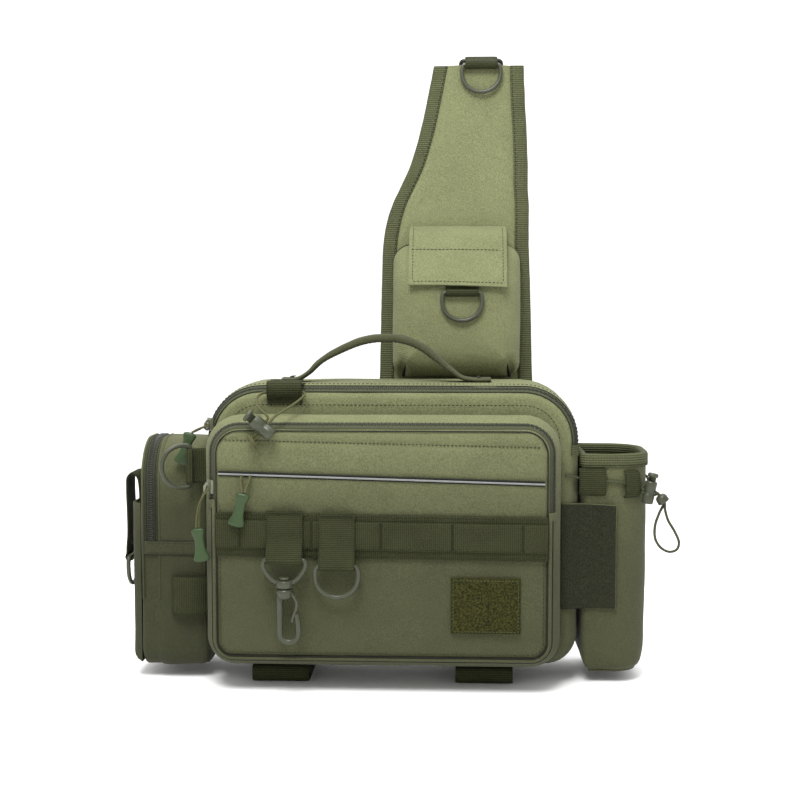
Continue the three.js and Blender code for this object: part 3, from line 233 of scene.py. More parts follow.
def webbing(name, colour, rib=1.35):
    """Woven tape: ribs across its length and fine warp threads along it, from the strip's own map."""
    g = Graph(name)
    at = g.node("TexCoord").outputs["Object"]
    split = g.node("SeparateXYZ", {0: g.node("TexCoord").outputs["UV"]})
    ribs = g.math("SINE", g.math("MULTIPLY", split.outputs["Y"], 2 * math.pi / (rib * MM)))
    warp = g.math("SINE", g.math("MULTIPLY", split.outputs["X"], 2 * math.pi / (1.1 * MM)))
    grain = g.noise(at, 1300, 3)
    patches = g.noise(at, 60, 3)
    weave = g.math("ADD", g.math("MULTIPLY", ribs, 0.3), g.math("MULTIPLY", warp, 0.16))
    tone = g.math("ADD", g.math("ADD", g.math("MULTIPLY", grain, 0.6), g.math("MULTIPLY", patches, 0.4)),
                  g.math("MULTIPLY", weave, 0.8))
    ramped = g.node("MapRange", {"Value": tone, "From Min": 0.25, "From Max": 0.75}).outputs[0]
    tint = g.ramp(ramped, shade(colour, 0.62), shade(colour, 1.45))
    height = g.math("ADD", weave, g.math("MULTIPLY", grain, 0.35))
    return g.finish(tint, 0.78, g.bump(height, 0.8, 0.0007), gloss=0.12)


def moulded(name, colour, rough=0.42, metal=0.0, grain_scale=900):
    """Moulded plastic or painted metal: faint grain, uneven gloss and slightly rubbed edges."""
    g = Graph(name)
    at = g.node("TexCoord").outputs["Object"]
    grain = g.noise(at, grain_scale, 3)
    patches = g.noise(at, 120, 3)
    tint = g.ramp(patches, shade(colour, 0.82), shade(colour, 1.2))
    worn = g.node("NewGeometry").outputs["Pointiness"]
    edge = g.node("MapRange", {"Value": worn, "From Min": 0.53, "From Max": 0.66}).outputs[0]
    tint = g.node("Mix", {"Factor": g.math("MULTIPLY", edge, 0.4), 6: tint, 7: (*shade(colour, 1.7), 1)},
                  data_type="RGBA").outputs[2]
    gloss = g.node("MapRange", {"Value": patches, "To Min": rough - 0.08, "To Max": rough + 0.12}).outputs[0]
    return g.finish(tint, gloss, g.bump(grain, 0.12, 0.0003), metal=metal, gloss=0.5 if metal else 0.28)


def pile(name, colour, light, scale, strength):
    """Hook-and-loop cloth: a deep fuzzy nap with lighter fibre tips."""
    g = Graph(name)
    at = g.node("TexCoord").outputs["Object"]
    tufts = g.noise(at, scale, 4)
    curls = g.node("TexVoronoi", {"Vector": at, "Scale": scale * 0.7}).outputs["Distance"]
    mixed = g.math("ADD", g.math("MULTIPLY", tufts, 0.7), g.math("MULTIPLY", curls, 0.3))
    ramped = g.node("MapRange", {"Value": mixed, "From Min": 0.35, "From Max": 0.65}).outputs[0]
    tint = g.ramp(ramped, colour, light)
    return g.finish(tint, 0.95, g.bump(mixed, strength, 0.001), gloss=0.08)


def braid(name, colour):
    """Round cord: two sets of strands that cross around it."""
    g = Graph(name)
    split = g.node("SeparateXYZ", {0: g.node("TexCoord").outputs["UV"]})
    along = g.math("MULTIPLY", split.outputs["Y"], 2 * math.pi / (1.5 * MM))
    around = g.math("MULTIPLY", split.outputs["X"], 2 * math.pi / (1.5 * MM))
    left = g.math("SINE", g.math("ADD", along, around))
    right = g.math("SINE", g.math("SUBTRACT", along, around))
    strands = g.math("MULTIPLY", g.math("ADD", left, right), 0.5)
    ramped = g.node("MapRange", {"Value": strands, "From Min": -1.0, "From Max": 1.0}).outputs[0]
    tint = g.ramp(ramped, shade(colour, 0.6), shade(colour, 1.35))
    return g.finish(tint, 0.7, g.bump(strands, 0.5, 0.0004), gloss=0.15)


OLIVE = (0.1, 0.106, 0.052)
MATERIALS = {
    "fabric": fabric("olive_fabric", OLIVE),
    # painted shade: the olive fabric scaled down to 0.66 for the side pouches, standing in for the shade on faces
    # turned away from the light above, not a darker cloth
    "side": fabric("side_fabric_painted_shade", shade(OLIVE, 0.66)),
    # painted shade: the olive fabric scaled down to 0.34 for the carry handle, standing in for the shade on the
    # handle's round front, not a darker cloth
    "handle": fabric("handle_fabric_painted_shade", shade(OLIVE, 0.34)),
    "lining": fabric("lining", shade(OLIVE, 0.3)),
    "webbing": webbing("olive_webbing", (0.024, 0.0265, 0.0105)),
    "binding": webbing("binding_tape", (0.056, 0.061, 0.029), 1.7),
    "tape": fabric("zip_tape", (0.04, 0.044, 0.024), 0.8),
    "coil": moulded("zip_coil", (0.012, 0.014, 0.008), 0.42),
    "grip": moulded("green_grip", (0.022, 0.042, 0.012), 0.45),
    "plastic": moulded("olive_plastic", (0.036, 0.04, 0.024), 0.33),
    "metal": moulded("painted_metal", (0.15, 0.158, 0.11), 0.32, 0.6),
    "cord": braid("olive_cord", (0.07, 0.07, 0.03)),
    "dark_cord": braid("dark_cord", (0.048, 0.054, 0.027)),
    "patch": pile("loop_pile", (0.007, 0.0075, 0.002), (0.04, 0.04, 0.011), 1000, 0.9),
    "panel": pile("knit_panel", (0.0105, 0.011, 0.0065), (0.025, 0.026, 0.016), 1300, 0.6),
    "reflective": moulded("reflective_tape", (0.15, 0.155, 0.15), 0.4, 0.0, 2200),
    "black": moulded("black_plastic", (0.012, 0.014, 0.009), 0.35),
    "thread": braid("thread", (0.02, 0.023, 0.01)),
    "seam": moulded("seam_shadow", (0.004, 0.005, 0.003), 0.8),
}


# Surfaces, each a set of points in rows and columns


def steps(points, closed):
    ahead = np.roll(points, -1, axis=0) if closed else points[1:]
    behind = points if closed else points[:-1]
    return np.concatenate([[0], np.cumsum(np.linalg.norm(ahead - behind, axis=1))])


def grid(points, loop=False, ring=False):
    """Quads through rows of points; loop joins the last column to the first, ring the last row to the first."""
    p = np.asarray(points, float)
    rows, cols = p.shape[:2]
    u = steps(p[rows // 2], loop) * MM
    v = steps(p[:, cols // 2], ring) * MM
    faces, maps = [], []
    for r in range(rows - 1 + ring):
        below = (r + 1) % rows
        for c in range(cols - 1 + loop):
            right = (c + 1) % cols
            faces.append([r * cols + c, r * cols + right, below * cols + right, below * cols + c])
            maps.append([(u[c], v[r]), (u[c + 1], v[r]), (u[c + 1], v[r + 1]), (u[c], v[r + 1])])
    return {"points": p.reshape(-1, 3), "faces": faces, "maps": maps}


def end_face(points):
    p = np.asarray(points, float)
    flat = [(x * MM, z * MM) for x, _, z in p]
    return {"points": p, "faces": [list(range(len(p)))], "maps": [flat]}


def capped(sections):
    """A loft through closed sections with a face at each end."""
    return [grid(sections, loop=True), end_face(sections[0]), end_face(sections[-1])]


def piece(name, parts, look, nodes=(), body="bag", smooth=True):
    """One named object from several surfaces, riding on its body and standing for its CAD nodes."""
    points, faces, maps = [], [], []
    for part in parts:
        start = sum(len(p) for p in points)
        points.append(part["points"])
        faces += [[i + start for i in face] for face in part["faces"]]
        maps += part["maps"]
    mesh = bpy.data.meshes.new(name)
    mesh.from_pydata(world(np.concatenate(points)).tolist(), [], faces)
    layer = mesh.uv_layers.new(name="map")
    layer.data.foreach_set("uv", np.array([uv for face in maps for uv in face], np.float32).ravel())
    bm = bmesh.new()
    bm.from_mesh(mesh)
    bmesh.ops.recalc_face_normals(bm, faces=bm.faces)
    for face in bm.faces:
        face.smooth = smooth
    bm.to_mesh(mesh)
    bm.free()
    mesh.materials.append(MATERIALS[look])
    obj = bpy.data.objects.new(name, mesh)
    bpy.context.scene.collection.objects.link(obj)
    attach(obj, body)
    if nodes:
        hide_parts(*nodes)
    return obj


def curve(points, count, closed=False, power=0.5):
    """Evenly spaced points on a smooth line through the given ones."""
    p = np.asarray(points, float)
    ends = (p[-1:], p[:1], p[1:2]) if closed else (2 * p[:1] - p[1:2], 2 * p[-1:] - p[-2:-1])
    p = np.concatenate([ends[0], p, *ends[1:]])
    dense = []
    for a, b, c, d in zip(p[:-3], p[1:-2], p[2:-1], p[3:]):
        t0 = 0.0
        t1 = t0 + max(np.linalg.norm(b - a), 1e-6) ** power
        t2 = t1 + max(np.linalg.norm(c - b), 1e-6) ** power
        t3 = t2 + max(np.linalg.norm(d - c), 1e-6) ** power
        for t in np.linspace(t1, t2, 16, endpoint=False):
            ab = (t1 - t) / (t1 - t0) * a + (t - t0) / (t1 - t0) * b
            bc = (t2 - t) / (t2 - t1) * b + (t - t1) / (t2 - t1) * c
            cd = (t3 - t) / (t3 - t2) * c + (t - t2) / (t3 - t2) * d
            abc = (t2 - t) / (t2 - t0) * ab + (t - t0) / (t2 - t0) * bc
            bcd = (t3 - t) / (t3 - t1) * bc + (t - t1) / (t3 - t1) * cd
            dense.append((t2 - t) / (t2 - t1) * abc + (t - t1) / (t2 - t1) * bcd)
    if not closed:
        dense.append(p[-2])
    return spaced(np.array(dense), count, closed)


def spaced(points, count, closed=False):
    p = np.concatenate([points, points[:1]]) if closed else np.asarray(points, float)
    along = steps(p, False)
    at = np.linspace(0, along[-1], count, endpoint=not closed)
    return np.stack([np.interp(at, along, p[:, k]) for k in range(p.shape[1])], axis=1)


def length_of(points):
    return float(steps(np.asarray(points, float), False)[-1])


def unit(v):
    v = np.asarray(v, float)
    return v / np.maximum(np.linalg.norm(v, axis=-1, keepdims=True), 1e-9)


def tangents(points, closed=False):
    p = np.asarray(points, float)
    if closed:
        return unit(np.roll(p, -1, axis=0) - np.roll(p, 1, axis=0))
    return unit(np.gradient(p, axis=0))


def tube(path, radius, sides=12, closed=False, flat=1.0, up=None):
    """Round stock along a path, its section carried along without twist; flat squeezes it along the carried side."""
    p = np.asarray(path, float)
    t = tangents(p, closed)
    side = np.array(up if up is not None else (0, 0, 1) if abs(t[0][2]) < 0.8 else (1, 0, 0), float)
    radii = np.broadcast_to(radius, len(p))
    angles = np.linspace(0, 2 * math.pi, sides, endpoint=False)
    sections = []
    for i in range(len(p)):
        side = unit(side - t[i] * np.dot(side, t[i]))
        other = np.cross(t[i], side)
        sections.append([p[i] + radii[i] * (math.cos(a) * flat * side + math.sin(a) * other) for a in angles])
    if closed:
        return [grid(sections, loop=True, ring=True)]
    return capped(sections)


def ruffle(points, amount, size, seed):
    """Moves points along their surface by smooth noise, as cloth that isn't quite flat."""
    p = np.asarray(points, float)
    across = np.gradient(p, axis=1)
    along = np.gradient(p, axis=0)
    normal = unit(np.cross(across, along))
    value = [[noise.noise(Vector(q / size) + Vector((seed, 0, 0))) for q in row] for row in p]
    return p + normal * np.array(value)[..., None] * amount


# Outlines with rounded corners, each with the same number of points


def outline(form, inset, corner=9, side=26):
    points = []
    for k, name in enumerate(("br", "tr", "tl", "bl")):
        radius = max(form["radii"][name] - inset, 0.6)
        u = form["centre"] + (form["half"] - inset - radius) * (1 if name[1] == "r" else -1)
        v = form["high"] - inset - radius if name[0] == "t" else form["low"] + inset + radius
        for i in range(corner + 1):
            angle = math.radians(-90 + 90 * k + 90 * i / corner)
            points.append([u + radius * math.cos(angle), v + radius * math.sin(angle)])
    ring = []
    for k in range(4):
        arc = points[k * (corner + 1):(k + 1) * (corner + 1)]
        nxt = points[((k + 1) * (corner + 1)) % len(points)]
        ring += arc
        ring += [np.array(arc[-1]) + (np.array(nxt) - arc[-1]) * i / side for i in range(1, side)]
    return np.array(ring, float)


def arch(form, inset, stop_left, stop_right, count):
    """The outline's left side from stop_left up, over the top and down to stop_right."""
    left = form["centre"] - form["half"] + inset
    right = form["centre"] + form["half"] - inset
    points = [[left, stop_left]]
    for name, first, last in (("tl", 180, 90), ("tr", 90, 0)):
        radius = form["radii"][name] - inset
        u = left + radius if name == "tl" else right - radius
        v = form["high"] - inset - radius
        for angle in np.radians(np.linspace(first, last, 13)):
            points.append([u + radius * math.cos(angle), v + radius * math.sin(angle)])
    points.append([right, stop_right])
    return spaced(np.array(points), count)


def on_front(flat, depth):
    flat = np.asarray(flat, float)
    return np.stack([flat[..., 0], np.broadcast_to(depth, flat.shape[:-1]), flat[..., 1]], axis=-1)


def on_left(flat, depth):
    flat = np.asarray(flat, float)
    return np.stack([np.broadcast_to(-129.9 - np.asarray(depth), flat.shape[:-1]), flat[..., 0], flat[..., 1]],
                    axis=-1)


def on_top(flat, depth):
    flat = np.asarray(flat, float)
    return np.stack([flat[..., 0], flat[..., 1], np.broadcast_to(depth, flat.shape[:-1])], axis=-1)


STRAP_FOOT = (116.5, 212)
STRAP_LEAN = math.radians(6.4)


def leaned(points):
    """From the strap's own frame, with Y through it and Z along it, to the drawing."""
    p = np.asarray(points, float)
    y = STRAP_FOOT[0] + p[..., 1] * math.cos(STRAP_LEAN) + p[..., 2] * math.sin(STRAP_LEAN)
    z = STRAP_FOOT[1] - p[..., 1] * math.sin(STRAP_LEAN) + p[..., 2] * math.cos(STRAP_LEAN)
    return np.stack([p[..., 0], y, z], axis=-1)


def on_strap(flat, depth):
    flat = np.asarray(flat, float)
    return np.stack([flat[..., 0], -np.broadcast_to(depth, flat.shape[:-1]), flat[..., 1]], axis=-1)


def bulge(form, rows, place, count=18, tail=10, crown=0.0, amount=0.5, seed=0, head=0):
    """A shell through insets and depths, closed at its last row by a crowned panel, and at its first if head is set."""
    fine = curve(rows, count)
    rings = [place(outline(form, inset), depth) for inset, depth in fine]
    sign = 1 if fine[-1][1] > fine[0][1] else -1

    def panel(row, outward, number):
        flat = outline(form, row[0])
        middle = flat.mean(axis=0)
        inner = []
        for k in range(1, number + 1):
            share = 1 - k / (number + 0.02)
            lift = crown * (1 - share ** 2.4) * outward
            inner.append(place(middle + (flat - middle) * share, row[1] + lift))
        return inner

    rings += panel(fine[-1], sign, tail)
    if head:
        rings = panel(fine[0], -sign, head)[::-1] + rings
    return grid(ruffle(np.array(rings), amount, 34.0, seed), loop=True)


# Stitches, seams, zips and strips


def stitches(path, out, pitch=3.0, size=2.0, radius=0.28):
    """Dashes of thread along a path; out is the surface's outward direction."""
    total = length_of(path)
    count = max(int(total / pitch), 1)
    fine = spaced(np.asarray(path, float), count * 4 + 1)
    t = tangents(fine)
    outs = np.broadcast_to(unit(out), fine.shape)
    sections = []
    for k in range(count):
        i = k * 4 + 2
        side = unit(np.cross(t[i], outs[i]))
        lift = outs[i] * radius * 0.35
        rows = []
        for along, share in ((-0.5, 0.35), (-0.3, 1.0), (0.3, 1.0), (0.5, 0.35)):
            centre = fine[i] + t[i] * along * size + lift * (1 if share == 1 else -0.5)
            angles = np.linspace(0, 2 * math.pi, 5, endpoint=False)
            rows.append([centre + radius * share * (math.cos(a) * side + math.sin(a) * outs[i]) for a in angles])
        sections.append(grid(rows, loop=True))
    return sections


def bartack(centre, along, across, out, long=20.0, wide=2.2):
    """A dense zigzag bar of thread."""
    a, b, n = unit(along), unit(across), unit(out)
    count = int(long / 0.9)
    path = [np.asarray(centre) + a * (i / count - 0.5) * long + b * wide * (0.5 if i % 2 else -0.5) + n * 0.15
            for i in range(count + 1)]
    return tube(path, 0.3, 5)


def teeth(path, across, out, offset=0.0, wide=3.4, pitch=1.5, tall=0.9):
    """A zip's coil: rounded bars side by side along a path."""
    count = int(length_of(path) / pitch)
    fine = spaced(path, count)
    t = tangents(fine)
    across = spaced(across, count) if np.ndim(across) == 2 else np.broadcast_to(across, fine.shape)
    out = spaced(out, count) if np.ndim(out) == 2 else np.broadcast_to(out, fine.shape)
    parts = []
    for i in range(count):
        b, n = unit(across[i]), unit(out[i])
        middle = fine[i] + b * (offset + (0.3 if i % 2 else -0.3))
        rows = []
        for share, height in ((-0.5, 0.2), (-0.4, 1.0), (0.0, 0.75), (0.4, 1.0), (0.5, 0.2)):
            at = middle + b * wide * share
            half = pitch * 0.34
            rows.append([at - t[i] * half, at - t[i] * half * 0.6 + n * tall * height,
                         at + t[i] * half * 0.6 + n * tall * height, at + t[i] * half])
        parts.append(grid(rows))
    return parts


def ribbon(path, width, thick, across, columns=8, round_edge=0.35):
    """A flat strip along a path: a thin closed section with soft edges, mapped along its length."""
    p = np.asarray(path, float)
    t = tangents(p)
    w = unit(np.broadcast_to(across, p.shape))
    n = unit(np.cross(t, w))
    half = np.broadcast_to(width, len(p)) / 2
    places = np.linspace(-1, 1, columns + 1)
    section = [(s, 0.5) for s in places] + [(s, -0.5) for s in places[::-1]]
    rows = []
    for i in range(len(p)):
        row = []
        for s, side in section:
            edge = 1 - round_edge if abs(s) == 1 else 1
            row.append(p[i] + w[i] * s * half[i] + n[i] * side * thick * edge)
        rows.append(row)
    return [grid(rows, loop=True), end_face(rows[0]), end_face(rows[-1])]


def around_bar(bar, radius, start, end, count=14):
    """Points on a circle in a plane, from one angle to another in degrees."""
    angles = np.radians(np.linspace(start, end, count))
    return [(bar[0] + radius * math.cos(a), bar[1] + radius * math.sin(a)) for a in angles]


def in_yz(path, x):
    return [(x, y, z) for y, z in path]


def in_xz(path, y):
    return [(x, y, z) for x, z in path]


def in_xy(path, z):
    return [(x, y, z) for x, y in path]


def lathe(profile, centre, axis, sides=28):
    """A turned form; the profile is radius and height along the axis."""
    axis = unit(axis)
    side = unit(np.cross(axis, (0, 1, 0) if abs(axis[1]) < 0.9 else (1, 0, 0)))
    other = np.cross(axis, side)
    angles = np.linspace(0, 2 * math.pi, sides, endpoint=False)
    rows = [[np.asarray(centre) + axis * h + max(r, 0.02) * (math.cos(a) * side + math.sin(a) * other)
             for a in angles] for r, h in profile]
    return capped(rows)


def block(centre, size, axes=((1, 0, 0), (0, 1, 0), (0, 0, 1)), soft=0.4):
    """A box with softened edges, as stacked sections along its last axis."""
    half = np.asarray(size, float) / 2
    x, y, z = (unit(a) for a in axes)
    rows = []
    for level, share in ((-1, -soft), (-1, 0), (1, 0), (1, -soft)):
        shrink = soft if share else 0
        height = level * (half[2] - (soft if not share else 0))
        ring = []
        for sx, sy in ((-1, -1), (1, -1), (1, 1), (-1, 1)):
            for cut in ((0, soft), (soft, 0)) if sx * sy > 0 else ((soft, 0), (0, soft)):
                ring.append(np.asarray(centre) + x * sx * (half[0] - cut[0] - shrink * 0.5)
                            + y * sy * (half[1] - cut[1] - shrink * 0.5) + z * height)
        rows.append(ring)
    return capped(rows)


# Cords, made first

ROD_ROUTE = [
    (-84.4, -5.8, 168.6), (-86, -6.1, 171.6), (-88.2, -6.4, 174.8), (-89.6, -6.4, 177.9),
    (-87.5, -6.4, 180.3), (-85.6, -6.4, 182.6), (-81.8, -6.4, 187.2), (-77.9, -6.4, 191.8),
    (-74.4, -4.4, 195.8), (-66, 5, 201.2), (-59.6, 15, 206), (-56.6, 21.4, 209.4),
    (-58.4, 24.4, 210.6), (-64, 25, 210.4), (-72, 25, 210.3), (-80, 25, 210.3),
    (-86, 24.4, 210.2), (-89.2, 19.8, 208.6), (-89.6, 12, 205.6), (-87.4, 4, 202),
    (-83.6, -2.4, 199.2), (-80.2, -6, 197), (-78.8, -6.5, 194.7), (-80.4, -6.4, 192.3),
    (-83.4, -6.4, 188.6), (-87.2, -6.4, 184), (-89.2, -6.4, 181.7), (-90.4, -6.4, 180.2),
]
DRAW_ROUTE = [
    (127, 26.4, 152), (131, 28, 151.4), (134.2, 30.8, 150.4), (137.4, 32, 149.5),
    (146, 31.9, 148.2), (156, 31.9, 147.6), (164, 32.1, 147), (170, 33.1, 146),
    (175.4, 35.2, 144.6), (180.2, 37.9, 142.6), (183.1, 36.4, 141.2), (187.5, 36.3, 140.3),
    (191.9, 36.2, 139.3), (193.5, 35.8, 138.4), (194.8, 35.5, 136.6), (196.2, 35.4, 134.6),
    (198.1, 35.4, 131.9), (198.4, 35.6, 127.5), (200.9, 36.2, 119.1), (205.2, 36.6, 111.9),
    (208.8, 36.8, 103.3), (207.4, 36.9, 98.2), (202.4, 37, 96.4), (196.6, 37.1, 98.9),
    (192.2, 37.2, 105.4), (191.8, 37.4, 114.8), (194.9, 37.7, 124.5), (198.1, 37.8, 131.9),
    (196.2, 37.8, 134.6), (194.7, 37.7, 136.8), (193.1, 37.2, 137.9), (191.3, 36.5, 137.3),
    (187.1, 36.3, 138.1), (182.8, 36.3, 139.1), (181.3, 38.3, 139.7), (182.6, 41.2, 141),
    (185.8, 44.6, 143), (188.4, 51, 145.6), (189.2, 60, 147), (189.2, 74, 147),
    (189.2, 86, 147), (186.4, 98, 147), (178, 107.6, 147), (166, 111.9, 147),
    (152, 112.2, 147), (142, 112.2, 147),
]
FRONT_PULL_ROUTE = [
    (-131.3, 3.4, 116.7), (-130.7, 2.2, 124), (-128.4, 0.2, 134), (-124.6, -0.6, 141), (-122, 0.6, 144.6),
    (-123.2, 2.3, 146), (-124.5, 3.9, 144.6), (-126.6, 4.8, 140), (-128.6, 4.6, 132), (-129.4, 4.4, 124),
    (-129.6, 4.2, 116.7),
]
MAIN_PULL_ROUTE = [
    (-139, 30, 181.2), (-135, 28.6, 183.4), (-130.4, 28.1, 185.2), (-127, 29.8, 185.8),
    (-128.2, 31.5, 187), (-129.5, 33.1, 185.8), (-132.9, 33.3, 184), (-136.8, 32.6, 182), (-139, 32, 181.2),
]
SLIT_LEFT = [(-98.6, -0.9, 153.8), (-98.7, -2.8, 150.4), (-98, -5, 146.6), (-97.3, -6.4, 142.9)]
SLIT_RIGHT = [(-95.4, -6.4, 142.9), (-94.6, -5, 146.6), (-93, -2.8, 150.4), (-92.4, -0.9, 153.8)]


def cord(name, route, radius, count, look="cord", sides=10):
    path = curve(route, count)
    obj = piece(name, tube(path, radius, sides), look, [name])
    return obj, world(path).tolist()


add_camera()
add_lights()
rod_cord, rod_path = cord("rod_cord", ROD_ROUTE, 0.9, 150)
drawcord, draw_path = cord("drawcord", DRAW_ROUTE, 1.0, 260, "dark_cord")
front_pull, front_pull_path = cord("front_pull_cord", FRONT_PULL_ROUTE, 0.7, 50)
cord("main_pull_cord", MAIN_PULL_ROUTE, 0.8, 36)
cord("slit_pull_cord_left", SLIT_LEFT, 1.05, 16)
cord("slit_pull_cord_right", SLIT_RIGHT, 1.05, 16)

# Main compartment

MAIN = {"centre": 4, "half": 133.5, "low": 13, "high": 216, "radii": {"br": 24, "tr": 40, "tl": 40, "bl": 24}}
MAIN_ROWS = [(15, 28.4), (8.5, 28.8), (6.2, 30.2), (3.8, 33.4), (1.4, 36.6), (0.4, 42), (-0.4, 54), (-0.6, 75),
             (-0.4, 96), (1.6, 106), (6, 111.5), (12, 113)]
MAIN_ZIP = {"inset": 3.8, "depth": 33.4, "stops": (171, 171)}
FRONT = {"centre": -1.8, "half": 125, "low": 17, "high": 195.4, "radii": {"br": 21, "tr": 26, "tl": 26, "bl": 21}}
FRONT_ROWS = [(10.4, 1.9), (9.4, 1.9), (7.6, 3.6), (4.4, 7.9), (0.7, 15), (0, 20), (1.6, 25), (4, 28)]
FRONT_ZIP = {"inset": 6.8, "depth": 4.7, "stops": (136, 128)}


def zip_line(form, zipper, along, out, count=240):
    """A line on a zip's slanted face, with its directions across the tape and out of it."""
    inset = zipper["inset"] - 0.6 * along - 0.8 * out
    depth = zipper["depth"] + 0.8 * along - 0.6 * out
    flat = arch(form, inset, *zipper["stops"], count)
    t = tangents(flat)
    normal = np.stack([-t[:, 1], t[:, 0]], axis=1)
    across = on_front(normal * 0.6, 0.8)
    outward = on_front(normal * 0.8, -0.6)
    return on_front(flat, depth), across, outward


def zip_parts(form, zipper, name, coil_at, node):
    edges = [(-3.3, -0.4), (-3.1, 0.3), (-1.0, 0.35), (1.0, 0.35), (3.1, 0.3), (3.3, -0.4)]
    rows = [zip_line(form, zipper, a, o)[0] for a, o in edges]
    piece(name, [grid(rows)], "tape", [node])
    path, across, out = zip_line(form, zipper, coil_at, 0.3, 600)
    piece(name + "_coil", teeth(path, across, out, 0, 2.6, 1.5, 0.8), "coil")


def main_compartment():
    shell = bulge(MAIN, MAIN_ROWS, on_front, 44, 12, 0.8, 0.4, 3, head=6)
    piece("main_shell", [shell], "fabric", ["main_shell"])
    zip_parts(MAIN, MAIN_ZIP, "main_zipper", 0.8, "main_zipper")
    # painted shadow: near-black tubes along both edges of the zip tape stand in for the shade in its seams
    seam_shadow_rows = [zip_line(MAIN, MAIN_ZIP, a, 0.5)[0] for a in (-3.4, 3.4)]
    piece("main_zip_seam_shadows", [p for line in seam_shadow_rows for p in tube(line, 0.32, 6)], "seam")
    lines = []
    for inset, depth, out in ((14.5, 28.3, (0, -1, 0)), (0.3, 41.5, (0, -0.3, 1))):
        flat = arch(MAIN, inset, 60, 60, 260)
        lines += stitches(on_front(flat, depth), out, 3.0, 1.9, 0.24)
    back = on_front(outline(MAIN, 9), 113.4)
    lines += stitches(back, (0, 1, 0), 3.4, 2.2, 0.3)
    piece("main_stitches", lines, "thread")
    tab = [zip_line(MAIN, MAIN_ZIP, a, 0.9)[0][-1] for a in (-4.4, 4.4)]
    middle = (tab[0] + tab[1]) / 2
    path = [middle + (0, 0, h) for h in (-5.6, -3, 0, 2.1)]
    piece("zip_end_tab", ribbon(path, 8.8, 1.2, tab[1] - tab[0], 6), "binding", ["zip_end_tab"])


HANDLE_PATH = [
    (-77, 218), (-66, 218.3), (-58, 223), (-49.2, 231.4), (-34.5, 239.8), (-19.1, 246), (-4.5, 248.3),
    (10.2, 247.3), (22.6, 242.8), (34.2, 234.6), (46, 225), (54, 219.6), (62, 218), (75, 218),
]


def carry_handle():
    line = curve(in_xz(HANDLE_PATH, 60), 90)
    share = np.linspace(-1, 1, 90)
    wide = 21 - 7.5 * np.exp(-(share / 0.62) ** 4)
    thick = 3.1 + 2.9 * np.exp(-(share / 0.62) ** 4)
    t = tangents(line)
    rows = []
    for i, p in enumerate(line):
        n = np.cross(t[i], (0, 1, 0))
        row = []
        for a in np.linspace(0, 2 * math.pi, 24, endpoint=False):
            c, s = math.cos(a), math.sin(a)
            across = math.copysign(abs(c) ** 0.55, c) * wide[i] / 2
            through = math.copysign(abs(s) ** 0.7, s) * thick[i] / 2
            row.append(p + np.array((0, 1, 0)) * across + n * through)
        rows.append(row)
    # the handle's cloth colour carries painted shade: it is the olive fabric darkened to stand in for its shaded front
    piece("carry_handle", capped(ruffle(np.array(rows), 0.35, 9, 5)), "handle", ["carry_handle"])
    seams = []
    for offset in (-4.6, 4.6):
        raised = [p + np.cross(t[i], (0, 1, 0)) * -(thick[i] / 2 - 0.1) + (0, offset, 0) for i, p in enumerate(line)]
        seams += stitches(raised[8:-8], (0, 0, 1), 3.0, 2.0, 0.26)
    for x in (-70, 66):
        seams += bartack((x, 60, 219.9), (0, 1, 0), (1, 0, 0), (0, 0, 1), 16, 2.4)
    piece("handle_stitches", seams, "thread")


ROD_LOOP_PATH = [(46, 217.3), (34, 217.6), (27, 218.2), (22.8, 217.2), (21.6, 213.6), (23.2, 209), (26.4, 205.6),
                 (27.3, 202)]


def rod_loop():
    line = curve(in_yz(ROD_LOOP_PATH, -71.6), 40)
    piece("rod_loop", ribbon(line, 25, 1.4, (1, 0, 0), 10), "webbing", ["rod_loop"])
    bar = bartack((-71.6, 40, 218.4), (1, 0, 0), (0, 1, 0), (0, 0, 1), 23, 2.4)
    piece("rod_loop_stitches", bar, "thread")


# Front pocket


def panel_edge(form, inset, count):
    """Heights of a panel's rows and half its width at each."""
    low, high = form["low"] + inset, form["high"] - inset
    z = (low + high) / 2 + (high - low) / 2 * np.sin(np.linspace(-math.pi / 2, math.pi / 2, count))
    half = []
    for value in z:
        top = form["radii"]["tl"] - inset
        bottom = form["radii"]["bl"] - inset
        over = max(value - (high - top), 0)
        under = max((low + bottom) - value, 0)
        cut = top - math.sqrt(max(top ** 2 - over ** 2, 0)) if over else 0
        cut = bottom - math.sqrt(max(bottom ** 2 - under ** 2, 0)) if under else cut
        half.append(form["half"] - inset - cut)
    return z, np.array(half)


SEAM_LINES = [(176.6, -0.0205, 1.0), (153.6, -0.0275, 0.9)]


def front_depth(x, z, gap):
    """How far the front panel lies behind the drawing's face, from its seams, edge and slack."""
    depth = 0.35 + 1.5 * math.exp(-gap / 1.5)
    for height, slope, amount in SEAM_LINES:
        depth += amount * math.exp(-((z - height - slope * x) / 2.6) ** 2)
    slack = noise.noise(Vector((x / 46, 0, z / 26)) + Vector((2, 0, 0)))
    if z < 94:
        folds = noise.noise(Vector((x / 15, 3, z / 60)))
        return depth + 0.75 + 0.75 * slack + 0.3 * folds
    return depth + 0.35 + 0.45 * slack


def front_panel():
    z, half = panel_edge(FRONT, 10.2, 120)
    rows = []
    for i, height in enumerate(z):
        across = np.sin(np.linspace(-math.pi / 2, math.pi / 2, 130)) * half[i]
        vertical = min(height - z[0], z[-1] - height)
        row = []
        for x in across:
            gap = min(half[i] - abs(x), vertical)
            row.append((FRONT["centre"] + x, front_depth(FRONT["centre"] + x, height, gap), height))
        rows.append(row)
    return grid(rows)


def lower_arch(form, inset, stops, count):
    """The outline from the left stop down, along the bottom and up to the right stop."""
    flipped = {"centre": form["centre"], "half": form["half"], "low": -form["high"], "high": -form["low"],
               "radii": {"tl": form["radii"]["bl"], "tr": form["radii"]["br"]}}
    line = arch(flipped, inset, -stops[0], -stops[1], count)
    return line * (1, -1)


